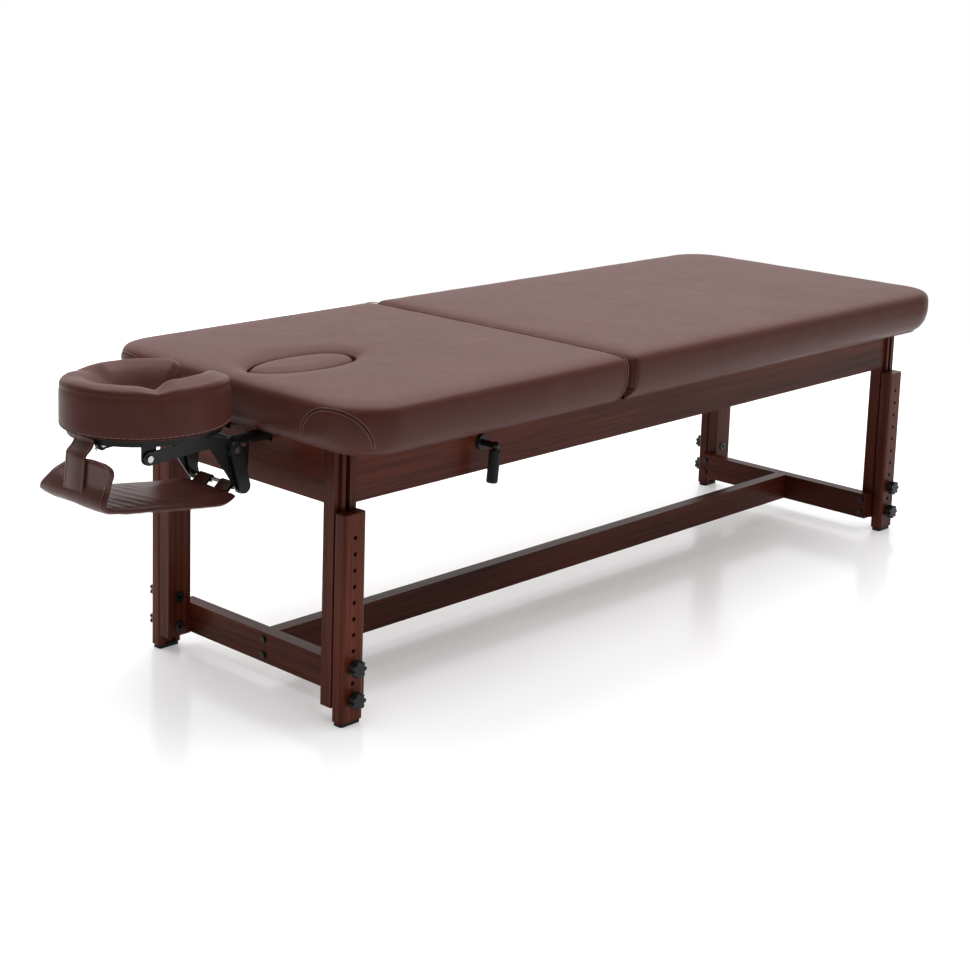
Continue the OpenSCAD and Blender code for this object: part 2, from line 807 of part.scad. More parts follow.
module lever_housing() {
    color([0.10, 0.10, 0.11]) place() difference() {
        union() {
            block([lever_x - housing_l / 2, -post_y, lever_z - housing_h / 2],
                  [lever_x + housing_l / 2, -post_y + housing_t, lever_z + housing_h / 2]);
            rod_y(lever_x, lever_z, -frame_y - boss_t, -frame_y, boss_r);
            block([cable_x0 + clip_w, -post_y, lever_z - clip_w],
                  [cable_x0 + 2 * clip_w, cable_y + clip_w, lever_z + clip_w]);
        }
        rod_y(lever_x, lever_z, -frame_y - 2 * boss_t, -post_y + housing_t - 2 * cut, lever_bore_r);
        rod_x(cable_y, lever_z, cable_x0 + cut, cable_x0 + 3 * clip_w, cable_r + seat_gap);
    }
}

module release_lever() {
    y_out = -frame_y - lever_reach;
    color([0.16, 0.16, 0.17]) place() {
        rod_y(lever_x, lever_z, y_out, -post_y + housing_t - 4 * cut, lever_shaft_r);
        translate([lever_x, y_out, lever_z]) sphere(elbow_r);
        translate([lever_x, y_out, lever_z]) rotate([0, 180 + grip_lean, 0])
            cylinder(h = 2 * elbow_r, r = lever_shaft_r);
    }
}

module lever_grip() {
    y_out = -frame_y - lever_reach;
    bead_r = 2;
    color([0.08, 0.08, 0.09]) place() translate([lever_x, y_out, lever_z])
        rotate([0, 180 + grip_lean, 0]) difference() {
            translate([0, 0, elbow_r + bead_r / 2]) {
                cylinder(h = grip_l - bead_r, r = grip_r);
                translate([0, 0, grip_l - bead_r]) cylinder(h = bead_r, r1 = grip_r, r2 = grip_r - bead_r,
                                                            $fn = round_facets);
            }
            cylinder(h = 2 * elbow_r + cut / 4, r = lever_shaft_r + run_gap);
        }
}

cable_r = 3;
cable_sides = 8;
cable_steps = 6;
cable_y = -post_y + 2 * cable_r;
cable_ferrule = 12;
ferrule_end_y = -(eye_half + ear_gap + ear_t) - cable_ferrule;
cable_bend_share = 0.5;
cable_x0 = lever_x + housing_l / 2;
cable_turn = 60;
clip_w = 8;

// Corner points of the cable's run, from the housing along the rail to the gas spring
cable_corners = [
    [cable_x0, cable_y, lever_z],
    [cable_x0 + 2 * cable_turn, cable_y, lever_z],
    [strut_low.x - 2 * cable_turn, cable_y, rail_bottom + 4 * cable_r],
    [strut_low.x, -2 * cable_turn - cable_turn / 2, strut_low.y + cable_r],
    [strut_low.x, -cable_turn, strut_low.y],
    [strut_low.x, ferrule_end_y, strut_low.y]
];

function bezier(a, b, c, t) = (1 - t) * (1 - t) * a + 2 * t * (1 - t) * b + t * t * c;

// The corners, each rounded by a curve that starts and ends half way to its neighbours
function rounded_path(c) = concat([c[0]],
    [for (i = [1 : len(c) - 2]) each
        let (a = mix(c[i], c[i - 1], cable_bend_share), b = mix(c[i], c[i + 1], cable_bend_share))
        [for (k = [(i == 1 ? 0 : 1) : cable_steps]) bezier(a, c[i], b, k / cable_steps)]],
    [c[len(c) - 1]]);

function unit(v) = v / norm(v);

// Rings of a tube swept along a path that never runs straight up; r holds each ring's radius
function tube_rings(path, r, sides) = [for (i = [0 : len(path) - 1])
    let (ahead = path[min(i + 1, len(path) - 1)], back = path[max(i - 1, 0)],
         t = unit(ahead - back), side = unit(cross(t, [0, 0, 1])), up = cross(side, t))
    [for (k = [0 : sides - 1]) path[i] + r[i] * (cos(360 * k / sides) * side + sin(360 * k / sides) * up)]];

module tube(path, r, sides) {
    rings = tube_rings(path, r, sides);
    last = len(path) - 1;
    points = concat([for (q = rings) each q], [path[0], path[last]]);
    faces = concat([for (i = [0 : last - 1]) each band(i, sides)],
                   fan(0, sides, len(points) - 2, false),
                   fan(last * sides, sides, len(points) - 1, true));
    polyhedron(points, [for (f = faces) [f[0], f[1], f[2]]], convexity = 6);
}

// The cable ends in a thicker ferrule at the gas spring
module release_cable() {
    run = rounded_path(cable_corners);
    end = run[len(run) - 1];
    path = concat(run, [end + [0, cable_r / 2, 0], end + [0, cable_ferrule, 0]]);
    radii = concat([for (p = run) cable_r], [2 * cable_r, 2 * cable_r]);
    color([0.06, 0.06, 0.06]) place() tube(path, radii, cable_sides);
}

// Sockets under the head board that take the face cradle

prong_y = prong_spacing / 2;
socket_x0 = -head_overhang + deck_end_gap;
socket_l = 148;
socket_saddle = 25;

module cradle_sockets() {
    color([0.15, 0.15, 0.16]) place()
        for (right = [false, true]) on_side(right) difference() {
            union() {
                rod_x(prong_y, prong_z, socket_x0, socket_x0 + socket_l, socket_r);
                block([socket_x0 + socket_l - socket_saddle, prong_y - socket_r, prong_z],
                      [socket_x0 + socket_l, prong_y + socket_r, deck_z]);
                block([apron_inset + apron_t + deck_end_gap, prong_y - socket_r, prong_z],
                      [apron_inset + apron_t + deck_end_gap + socket_saddle, prong_y + socket_r, deck_z]);
            }
            rod_x(prong_y, prong_z, socket_x0 - cut, socket_x0 + socket_l + cut, prong_r + run_gap);
        }
}

// Face cradle: a base with two prongs, an arm that swings on the base and is clamped to
// it, and a platform that tilts on the arm. Side plates lie in two layers along Y: the
// base's plates and the platform's ears inside, the arm's plates outside.

prong_end = 92;
prong_start = -88;
inner_y = prong_y + prong_r / 2;
outer_y = inner_y + plate_t + slide_gap;
far_y = 3 * prong_y;
tube_r = 7;
tube_x = -68;
arm_tube_x = -150;
arm_tube_r = 6;
tilt_boss_r = 12;
arm_boss_r = 10;
screw_r = 4;
tilt_pivot = [-tilt_x, tilt_z];
arm_pivot = [-arm_x, arm_z];
clamp_at = [-clamp_x, clamp_z];
base_top = [-clamp_x, prong_z - prong_r / 4];
arm_neck = [-tilt_x / 2, prong_z + prong_r];
slot_half = bolt_r + slide_gap / 2;
slot_radius = norm(clamp_at - arm_pivot);
slot_rim = 6;
slot_steps = 8;
arc_steps = 12;
arm_hole_r = bolt_r + run_gap;
clamp_angle = atan2(clamp_at.y - arm_pivot.y, clamp_at.x - arm_pivot.x);
slot_end = arm_pivot + slot_radius * [cos(clamp_angle - arm_travel), sin(clamp_angle - arm_travel)];

module cradle_base() {
    color([0.10, 0.10, 0.11]) place() difference() {
        union() {
            for (right = [false, true]) on_side(right) {
                rod_x(prong_y, prong_z, prong_start, prong_end, prong_r);
                side_plate(inner_y, inner_y + plate_t) bar_2d(base_top, arm_pivot, tilt_boss_r, arm_boss_r);
            }
            rod_y(tube_x, prong_z, -prong_y, prong_y, tube_r);
        }
        rod_y(clamp_at.x, clamp_at.y, -far_y, far_y, bolt_r + run_gap);
        rod_y(arm_pivot.x, arm_pivot.y, -far_y, far_y, bolt_r + run_gap);
    }
}

// The slot lets the arm swing past the clamp bolt, which stays on the base
module slot_2d() {
    end_angle = atan(slot_half / slot_radius);
    angles = [for (i = [0 : slot_steps]) clamp_angle + end_angle - i / slot_steps * (arm_travel + 2 * end_angle)];
    outer = [for (a = angles) (slot_radius + slot_half) * [cos(a), sin(a)]];
    inner = [for (i = [slot_steps : -1 : 0]) (slot_radius - slot_half) * [cos(angles[i]), sin(angles[i])]];
    translate(arm_pivot) polygon(concat(outer, inner));
}

function heading(p, q) = atan2(q.y - p.y, q.x - p.x);

function arc(c, r, from, to) =
    [for (i = [0 : arc_steps]) c + r * [cos(mix(from, to, i / arc_steps)), sin(mix(from, to, i / arc_steps))]];

// From the tilt pivot's boss along the lower edge, round the arm pivot and up past the slot
module arm_2d() {
    rim = slot_half + slot_rim;
    neck_low = arm_neck - [0, arm_boss_r];
    neck_high = arm_neck + [0, arm_boss_r];
    clamp_high = clamp_at + [0, 1.8 * rim];
    bar_angle = heading(tilt_pivot, arm_neck);
    slot_angle = heading(arm_pivot, slot_end) - 90;
    difference() {
        polygon(concat(
            arc(tilt_pivot, tilt_boss_r, bar_angle + 90, bar_angle + 270),
            [neck_low],
            arc(arm_pivot, arm_boss_r, heading(neck_low, arm_pivot) - 90, slot_angle),
            arc(slot_end, rim, slot_angle, heading(slot_end, clamp_high) - 90),
            [clamp_high, neck_high]));
        translate(arm_pivot) circle(arm_hole_r);
        translate(tilt_pivot) circle(screw_r + run_gap);
        slot_2d();
    }
}

module cradle_arm() {
    color([0.10, 0.10, 0.11]) place() {
        for (right = [false, true]) on_side(right)
            side_plate(outer_y, outer_y + plate_t) arm_2d();
        rod_y(arm_tube_x, arm_neck.y - cut, -outer_y - plate_t / 2, outer_y + plate_t / 2, arm_tube_r);
    }
}

platform_a = cushion_a - platform_inset;
platform_b = cushion_b - platform_inset;
platform_z = cushion_z - platform_t;
face_a = 78;
face_b = 58;
mouth_w = 70;
ellipse_steps = 48;
ear_w = 30;

module platform_2d() {
    difference() {
        polygon(ellipse_points(platform_a, platform_b, ellipse_steps));
        polygon(ellipse_points(face_a, face_b, ellipse_steps));
        translate([0, -mouth_w / 2]) square([cushion_a, mouth_w]);
    }
}

module cradle_platform() {
    color([0.09, 0.09, 0.10]) place() {
        translate([-cradle_x, 0, platform_z]) linear_extrude(platform_t) platform_2d();
        for (right = [false, true]) on_side(right)
            side_plate(inner_y, inner_y + plate_t) difference() {
                union() {
                    translate(tilt_pivot) circle(tilt_boss_r);
                    translate([tilt_pivot.x - tilt_boss_r, tilt_pivot.y])
                        square([ear_w, platform_z - tilt_pivot.y + cut]);
                }
                translate(tilt_pivot) circle(screw_r + run_gap);
            }
    }
}

screw_head_r = 6;
screw_head_t = 3;

module tilt_screws() {
    y_head = outer_y + plate_t + seat_gap;
    color([0.75, 0.76, 0.78]) place()
        for (right = [false, true]) on_side(right) {
            rod_y(tilt_pivot.x, tilt_pivot.y, inner_y - screw_head_t, y_head, screw_r);
            rod_y(tilt_pivot.x, tilt_pivot.y, y_head, y_head + screw_head_t, screw_head_r);
            rod_y(tilt_pivot.x, tilt_pivot.y, inner_y - seat_gap - screw_head_t, inner_y - seat_gap,
                  screw_head_r);
        }
}

lever_disc_r = 14;
lever_disc_t = 6;
cam_lever_l = 74;
cam_lever_w = 13;
cam_lever_t = 4;
cam_lever_lean = 16;
cam_y = outer_y + plate_t + seat_gap;

// The clamp bolt and the arm's pivot bolt, both held by the base
module cradle_bolts() {
    y_right = cam_y + lever_disc_t + cam_lever_t + seat_gap;
    color([0.72, 0.73, 0.75]) place() {
        rod_y(clamp_at.x, clamp_at.y, -y_right, cam_y + seat_gap, bolt_r);
        rod_y(clamp_at.x, clamp_at.y, cam_y, cam_y + 2 * screw_head_t, screw_head_r + cut);
        rod_y(clamp_at.x, clamp_at.y, -y_right - screw_head_t, -y_right, screw_head_r);
        rod_y(arm_pivot.x, arm_pivot.y, -cam_y, cam_y, bolt_r);
        for (right = [false, true]) on_side(right)
            rod_y(arm_pivot.x, arm_pivot.y, cam_y, cam_y + screw_head_t, screw_head_r);
    }
}

module cam_lever() {
    tip = clamp_at + cam_lever_l * [sin(cam_lever_lean), -cos(cam_lever_lean)];
    color([0.20, 0.21, 0.22]) place() difference() {
        union() {
            rod_y(clamp_at.x, clamp_at.y, -cam_y - lever_disc_t, -cam_y, lever_disc_r);
            side_plate(-cam_y - lever_disc_t - cam_lever_t, -cam_y - lever_disc_t)
                bar_2d(clamp_at, tip, cam_lever_w, cam_lever_w);
        }
        rod_y(clamp_at.x, clamp_at.y, -2 * cam_y, 0, bolt_r + run_gap);
    }
}

// The cushion is a horseshoe: a rounded section swept round an oval, open at the table.
// Section points run round the ring, as shares of its width (0 inside, 1 outside) and
// of its height.
cushion_shares = [[0.94, 0], [1, 0.14], [1, 0.70], [0.975, 0.88], [0.91, 0.975], [0.80, 1],
                  [0.58, 0.93], [0.34, 0.79], [0.12, 0.58], [0, 0.36], [0.03, 0.1], [0.1, 0]];
cushion_steps = 30;
mouth_angle = 31;
lobe_lift = 2;

function cushion_angle(s) = mouth_angle + (360 - 2 * mouth_angle) * s;

function lobe_share(s) =
    let (e = min(s, 1 - s)) lookup(e, [[0, 0.45], [0.012, 0.78], [0.035, 0.95], [0.07, 1]]);

// One section: the ring's middle line at this angle, its half width and its height
function cushion_section(s) =
    let (a = cushion_angle(s), k = lobe_share(s), rim = seat_gap,
         out = [(cushion_a) * cos(a), cushion_b * sin(a)],
         inn = [(face_a - platform_inset) * cos(a), (face_b - platform_inset / 2) * sin(a)],
         middle = (out + inn) / 2,
         h = cushion_t * (0.55 + 0.45 * k) + lobe_lift * max(0, cos(a)) * k)
    [for (p = cushion_shares)
        let (q = middle + (mix(inn, out, p.x) - middle) * k)
        [q.x - cradle_x, q.y, cushion_z + rim + p.y * h]];

module cradle_cushion() {
    // More sections near the lobes' ends than elsewhere
    steps = concat([0, 0.012, 0.035, 0.07], [for (i = [1 : cushion_steps - 1]) 0.07 + 0.86 * i / cushion_steps],
                   [0.93, 0.965, 0.988, 1]);
    sections = [for (s = steps) cushion_section(s)];
    n = len(cushion_shares);
    m = len(sections);
    centre = function (ring) [for (axis = [0 : 2]) [for (p = ring) p[axis]] * [for (p = ring) 1 / n]];
    points = concat([for (q = sections) each q], [centre(sections[0]), centre(sections[m - 1])]);
    faces = concat([for (i = [0 : m - 2]) each band(i, n)],
                   fan(0, n, len(points) - 2, false), fan((m - 1) * n, n, len(points) - 1, true));
    color([0.37, 0.21, 0.19]) place()
        polyhedron(points, [for (f = faces) [f[0], f[2], f[1]]], convexity = 6);
}

// Arm sling: a padded strip that hangs below the cradle and turns up at its front end.
// Its middle line is given in x and z, and its reach to either side as shares of half
// the sling's width. The turned-up end slopes down to the far side.

sling_line = [
    [sling_rear_x, sling_rear_z],
    mix([sling_rear_x, sling_rear_z], [sling_front_x, sling_front_z], 0.04),
    mix([sling_rear_x, sling_rear_z - sling_sag], [sling_front_x, sling_front_z], 0.14),
    mix([sling_rear_x, sling_rear_z - sling_sag], [sling_front_x, sling_front_z - sling_sag], 0.3),
    mix([sling_rear_x, sling_rear_z - sling_sag], [sling_front_x, sling_front_z - sling_sag], 0.5),
    mix([sling_rear_x, sling_rear_z - sling_sag], [sling_front_x, sling_front_z - sling_sag], 0.7),
    mix([sling_rear_x, sling_rear_z - sling_sag], [sling_front_x, sling_front_z - sling_sag], 0.88),
    mix([sling_front_x, sling_front_z], [sling_up_x, sling_front_z], 0.5),
    mix([sling_front_x, sling_front_z], [sling_up_x, sling_up_z], 0.4),
    mix([sling_front_x, sling_front_z], [sling_up_x, sling_up_z], 0.62),
    mix([sling_front_x, sling_front_z], [sling_up_x, sling_up_z], 0.82),
    mix([sling_front_x, sling_front_z], [sling_up_x, sling_up_z], 0.95),
    [sling_up_x, sling_up_z]
];
sling_near_shares = [0.72, 0.86, 0.96, 1, 1, 1, 1, 1, 1.04, 1.12, 1.2, 1.18, 1.03];
sling_far_shares = [0.72, 0.86, 0.96, 1, 1, 1, 1, 1.04, 0.70, 0.40, 0.08, -0.25, -0.6];
sling_thick_shares = [0.35, 0.8, 1, 1, 1, 1, 1, 1, 0.9, 0.8, 0.7, 0.6, 0.3];
// Round the section: across the half width, and across the half thickness
sling_section_shares = [[1, 0], [0.94, 0.62], [0.7, 0.95], [0, 1], [-0.7, 0.95], [-0.94, 0.62],
                        [-1, 0], [-0.94, -0.62], [-0.7, -0.95], [0, -1], [0.7, -0.95], [0.94, -0.62]];

sling_last = len(sling_line) - 1;

function sling_up(i) =
    let (t = unit(sling_line[min(i + 1, sling_last)] - sling_line[max(i - 1, 0)])) [t.y, -t.x];

// From the near edge of section i (share -1) to its far edge (share 1)
function sling_y(i, share) =
    mix(-sling_near_shares[i], sling_far_shares[i], (share + 1) / 2) * sling_w / 2;

// A point on the sling's outer face, moved out by off
function sling_outer(i, off) =
    sling_line[i] - sling_up(i) * (sling_thick_shares[i] * sling_t / 2 + off);

module arm_sling() {
    n = len(sling_section_shares);
    rings = [for (i = [0 : sling_last]) [for (q = sling_section_shares)
        let (off = sling_up(i) * q.y * sling_thick_shares[i] * sling_t / 2)
        [sling_line[i].x + off.x, sling_y(i, q.x), sling_line[i].y + off.y]]];
    points = concat([for (r = rings) each r],
        [for (i = [0, sling_last]) [sling_line[i].x, sling_y(i, 0), sling_line[i].y]]);
    faces = concat([for (i = [0 : sling_last - 1]) each band(i, n)],
                   fan(0, n, len(points) - 2, false), fan(sling_last * n, n, len(points) - 1, true));
    color([0.34, 0.17, 0.15]) place() polyhedron(points, faces, convexity = 6);
}

loop_w = 34;
loop_t = 3;
loop_in = 14;

// Two loops that hang the sling's rear edge on the arm's pivot bolt
module sling_loops() {
    r_in = bolt_r + seat_gap;
    color([0.33, 0.17, 0.15]) place()
        for (right = [false, true]) on_side(right)
            side_plate(loop_in, loop_in + loop_w) difference() {
                union() {
                    translate(arm_pivot) circle(r_in + loop_t);
                    bar_2d(arm_pivot, sling_line[0] + [2 * loop_t, loop_t / 2], loop_t, loop_t);
                }
                translate(arm_pivot) circle(r_in);
            }
}

strap_t = 3;
strap_from = 7;

// The origin lies below the middle of the whole table, whose head end is the strap
x_min = min([for (i = [strap_from : sling_last]) sling_outer(i, seat_gap + strap_t).x]);
x_mid = (x_min + table_end) / 2;

// One strap from the platform's end down the outside of the sling's turned-up end
module sling_strap() {
    x_end = -cradle_x - platform_a - seat_gap;
    back = [for (i = [strap_from : sling_last]) sling_outer(i, seat_gap)];
    face = [for (i = [sling_last : -1 : strap_from]) sling_outer(i, seat_gap + strap_t)];
    color([0.33, 0.17, 0.15]) place()
        side_plate(-sling_strap_w / 2, sling_strap_w / 2)
            polygon(concat(back, [[x_end, platform_z], [x_end, platform_z + platform_t]],
                           [[x_end - strap_t, platform_z + platform_t],
                            [x_end - strap_t, platform_z - strap_t / 2]], face));
}

post_node(false, true);  // post_head_right
post_node(false, false);  // post_head_left
post_node(true, true);  // post_foot_right
post_node(true, false);  // post_foot_left
crossbar_head();
crossbar_foot();
stretcher();
side_rail_right();
side_rail_left();
apron_head();
apron_foot();
cross_rail();
corner_blocks();
frame_bolts();
leg_inserts();
foot_deck();
foot_pad();
hinge_plates_fixed();
hinge_pins();
strut_bracket_low();
lever_housing();
release_cable();
leg_node(false, true);  // leg_head_right
leg_node(false, false);  // leg_head_left
leg_node(true, true);  // leg_foot_right
leg_node(true, false);  // leg_foot_left
cap_node(false, true);  // cap_head_right
cap_node(false, false);  // cap_head_left
cap_node(true, true);  // cap_foot_right
cap_node(true, false);  // cap_foot_left
knob_node(false, true, 0);  // knob_head_right_upper
knob_node(false, true, 1);  // knob_head_right_lower
knob_node(false, false, 0);  // knob_head_left_upper
knob_node(false, false, 1);  // knob_head_left_lower
knob_node(true, true, 0);  // knob_foot_right_upper
knob_node(true, true, 1);  // knob_foot_right_lower
knob_node(true, false, 0);  // knob_foot_left_upper
knob_node(true, false, 1);  // knob_foot_left_lower
head_deck();
deck_battens();
head_pad();
face_plug();
hinge_plates_moving();
strut_bracket_high();
cradle_sockets();
gas_cylinder();
gas_rod();
release_lever();
lever_grip();
cradle_base();
cradle_arm();
cradle_platform();
tilt_screws();
cradle_bolts();
cam_lever();
cradle_cushion();
arm_sling();
sling_loops();
sling_strap();
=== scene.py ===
"""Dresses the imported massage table: leatherette pads, cradle cushion and arm sling,
stained wood, steel and plastic, with the photograph's camera and soft studio light."""
import math

import bpy
from mathutils import Matrix, Vector, noise


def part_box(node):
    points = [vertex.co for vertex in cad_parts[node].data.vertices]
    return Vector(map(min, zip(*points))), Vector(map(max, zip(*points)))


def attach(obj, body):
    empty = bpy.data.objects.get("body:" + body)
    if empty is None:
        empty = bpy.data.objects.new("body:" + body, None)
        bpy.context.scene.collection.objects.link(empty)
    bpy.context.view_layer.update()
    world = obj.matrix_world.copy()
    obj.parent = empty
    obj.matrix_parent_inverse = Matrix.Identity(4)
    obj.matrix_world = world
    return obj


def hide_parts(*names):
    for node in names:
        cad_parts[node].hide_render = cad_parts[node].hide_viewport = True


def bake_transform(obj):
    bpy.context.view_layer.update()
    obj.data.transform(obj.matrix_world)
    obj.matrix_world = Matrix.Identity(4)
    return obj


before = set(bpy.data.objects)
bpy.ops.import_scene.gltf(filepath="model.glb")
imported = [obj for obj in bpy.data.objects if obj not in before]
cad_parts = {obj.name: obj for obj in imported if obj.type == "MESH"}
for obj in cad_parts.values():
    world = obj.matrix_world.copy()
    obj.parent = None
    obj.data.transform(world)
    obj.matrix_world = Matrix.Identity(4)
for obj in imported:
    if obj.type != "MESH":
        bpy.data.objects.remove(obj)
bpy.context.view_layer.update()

MM = 0.001
# The CAD's own x starts at the head posts' end faces
X0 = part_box("post_head_right")[0].x


def pt(x, y, z):
    """A point given in the CAD's millimetres, in the row frame."""
    return Vector((X0 + x * MM, y * MM, z * MM))


# Sizes, as in part.scad, in millimetres
PAD_T = 84
PAD_W = 740
HEAD_END, SPLIT, FOOT_START, FOOT_END = -50, 660, 680, 1850
CORNER_R, SPLIT_CORNER_R = 100, 18
PAD_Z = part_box("head_pad")[0].z / MM
HOLE_X, HOLE_L, HOLE_W = 142, 250, 126
PLUG_GAP, PLUG_SINK = 1.6, 12
CRADLE_X = -223
CUSHION_A, CUSHION_B = 152, 143
CUSHION_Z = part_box("cradle_cushion")[0].z / MM
CUSHION_T = 78


# Meshes

def mesh_piece(name, verts, faces, material):
    mesh = bpy.data.meshes.new(name)
    mesh.from_pydata([tuple(v) for v in verts], [], faces)
    mesh.validate()
    mesh.materials.append(material)
    mesh.shade_smooth()
    piece = bpy.data.objects.new(name, mesh)
    bpy.context.collection.objects.link(piece)
    return piece


def ring_faces(count, size, loop=False, start=0):
    """Quads between rings of size points each; loop joins the last ring to the first."""
    faces = []
    for i in range(count if loop else count - 1):
        low, high = start + i * size, start + (i + 1) % count * size
        for k in range(size):
            k2 = (k + 1) % size
            faces.append((low + k, low + k2, high + k2, high + k))
    return faces


def ring_piece(name, rings, material, loop=False):
    """Rings joined in order, closed at both ends or into a loop."""
    size, count = len(rings[0]), len(rings)
    faces = ring_faces(count, size, loop)
    if not loop:
        faces.append(tuple(reversed(range(size))))
        faces.append(tuple((count - 1) * size + k for k in range(size)))
    return mesh_piece(name, [p for ring in rings for p in ring], faces, material)


def smooth_curve(points, steps):
    """Catmull-Rom through points given as tuples of any length."""
    out = []
    last = len(points) - 1
    for i in range(last):
        a, b = points[max(i - 1, 0)], points[i]
        c, d = points[i + 1], points[min(i + 2, last)]
        for k in range(steps):
            t = k / steps
            out.append(tuple(0.5 * (2 * q + (r - p) * t + (2 * p - 5 * q + 4 * r - s) * t * t
                                    + (3 * q - p - 3 * r + s) * t ** 3)
                             for p, q, r, s in zip(a, b, c, d)))
    out.append(tuple(points[-1]))
    return out


def lookup(value, table):
    if value <= table[0][0]:
        return table[0][1]
    for (a, p), (b, q) in zip(table, table[1:]):
        if value <= b:
            return p + (q - p) * (value - a) / (b - a)
    return table[-1][1]


def ease(value, low, high):
    t = min(max((value - low) / (high - low), 0), 1)
    return t * t * (3 - 2 * t)


def bump(value, centre, width):
    return math.exp(-((value - centre) / width) ** 2)


def tube_rings(path, radius, sides, closed=False):
    rings = []
    count = len(path)
    side = None
    for i, p in enumerate(path):
        ahead = path[(i + 1) % count] if closed else path[min(i + 1, count - 1)]
        back = path[i - 1] if closed or i else path[0]
        t = (ahead - back).normalized()
        if side is None:
            side = t.cross(Vector((0.3, 0.2, 1))).normalized()
        side = (side - t * side.dot(t)).normalized()
        up = t.cross(side)
        rings.append([p + radius * (math.cos(a) * side + math.sin(a) * up)
                      for a in (2 * math.pi * k / sides for k in range(sides))])
    return rings


def tube(name, path, radius, material, sides=8, closed=False):
    return ring_piece(name, tube_rings(path, radius, sides, closed), material, closed)


def resample(path, step):
    """Points along a polyline, one step apart."""
    out = [path[0]]
    left = step
    for a, b in zip(path, path[1:]):
        length = (b - a).length
        at = 0
        while length - at >= left:
            at += left
            out.append(a.lerp(b, at / length))
            left = step
        left -= length - at
    return out


STITCH_SIDES = 6
STITCH_SHARES = [(0.08, 0.25), (0.2, 0.9), (0.5, 1), (0.8, 0.9), (0.92, 0.25)]


def stitches(name, paths, material, pitch=4.4 * MM, radius=0.55 * MM):
    """Short threads along each path, as one mesh."""
    verts, faces = [], []
    for path in paths:
        points = resample(path, pitch)
        for a, b in zip(points, points[1:]):
            start = len(verts)
            rings = tube_rings([a.lerp(b, along) for along, _ in STITCH_SHARES], radius, STITCH_SIDES)
            for ring, (_, size) in zip(rings, STITCH_SHARES):
                centre = sum(ring, Vector()) / STITCH_SIDES
                verts += [centre + (p - centre) * size for p in ring]
            faces += ring_faces(len(rings), STITCH_SIDES, start=start)
            faces.append(tuple(reversed(range(start, start + STITCH_SIDES))))
            faces.append(tuple(range(len(verts) - STITCH_SIDES, len(verts))))
    return mesh_piece(name, verts, faces, material)


# Materials

def new_material(name):
    material = bpy.data.materials.new(name)
    material.use_nodes = True
    tree = material.node_tree
    return material, tree, tree.nodes["Principled BSDF"]


def add(tree, kind, links=(), **values):
    """A node with its settings and socket values, and links as (socket, output)."""
    node = tree.nodes.new(kind)
    for key, value in values.items():
        if hasattr(node, key):
            setattr(node, key, value)
        else:
            node.inputs[key.replace("_", " ")].default_value = value
    for socket, output in links:
        tree.links.new(output, node.inputs[socket])
    return node


def mapped(tree, scale, offset=(0, 0, 0)):
    """Object coordinates, stretched."""
    coords = add(tree, "ShaderNodeTexCoord")
    return add(tree, "ShaderNodeMapping", [("Vector", coords.outputs["Object"])],
               Scale=scale, Location=offset).outputs["Vector"]


def ramp(tree, factor, stops):
    node = add(tree, "ShaderNodeValToRGB", [("Fac", factor)])
    elements = node.color_ramp.elements
    for element, (position, colour) in zip(elements, stops):
        element.position = position
        element.color = (*colour, 1)
    return node.outputs["Color"]


def grey(value):
    return (value, value, value)


def multiplied(tree, colour, factor, amount):
    node = add(tree, "ShaderNodeMix", [(6, colour), (7, factor)], data_type="RGBA", blend_type="MULTIPLY")
    node.inputs[0].default_value = amount
    return node.outputs[2]


def ranged(tree, value, low, high):
    return add(tree, "ShaderNodeMapRange", [("Value", value)], To_Min=low, To_Max=high).outputs["Result"]


def leather(name, dark, light, roughness=(0.34, 0.46), grain=0.16, shine=0.12):
    """Leatherette: faint clouds of colour, pebbled grain and soft creases."""
    material, tree, shader = new_material(name)
    vector = mapped(tree, (1, 1, 1))
    clouds = add(tree, "ShaderNodeTexNoise", [("Vector", vector)], Scale=9, Detail=5, Roughness=0.6)
    pebbles = add(tree, "ShaderNodeTexVoronoi", [("Vector", vector)], Scale=760, Randomness=1)
    creases = add(tree, "ShaderNodeTexNoise", [("Vector", vector)], Scale=55, Detail=6, Roughness=0.65)
    colour = ramp(tree, clouds.outputs["Fac"], [(0.3, dark), (0.7, light)])
    cracks = ramp(tree, pebbles.outputs["Distance"], [(0.05, grey(0)), (0.55, grey(1))])
    tree.links.new(multiplied(tree, colour, cracks, 0.18), shader.inputs["Base Color"])
    tree.links.new(ranged(tree, creases.outputs["Fac"], *roughness), shader.inputs["Roughness"])
    broad = add(tree, "ShaderNodeBump", [("Height", creases.outputs["Fac"])], Strength=0.12, Distance=0.0012)
    heights = [("Height", pebbles.outputs["Distance"]), ("Normal", broad.outputs["Normal"])]
    fine = add(tree, "ShaderNodeBump", heights, Strength=grain, Distance=0.0004)
    tree.links.new(fine.outputs["Normal"], shader.inputs["Normal"])
    shader.inputs["Specular IOR Level"].default_value = shine
    return material


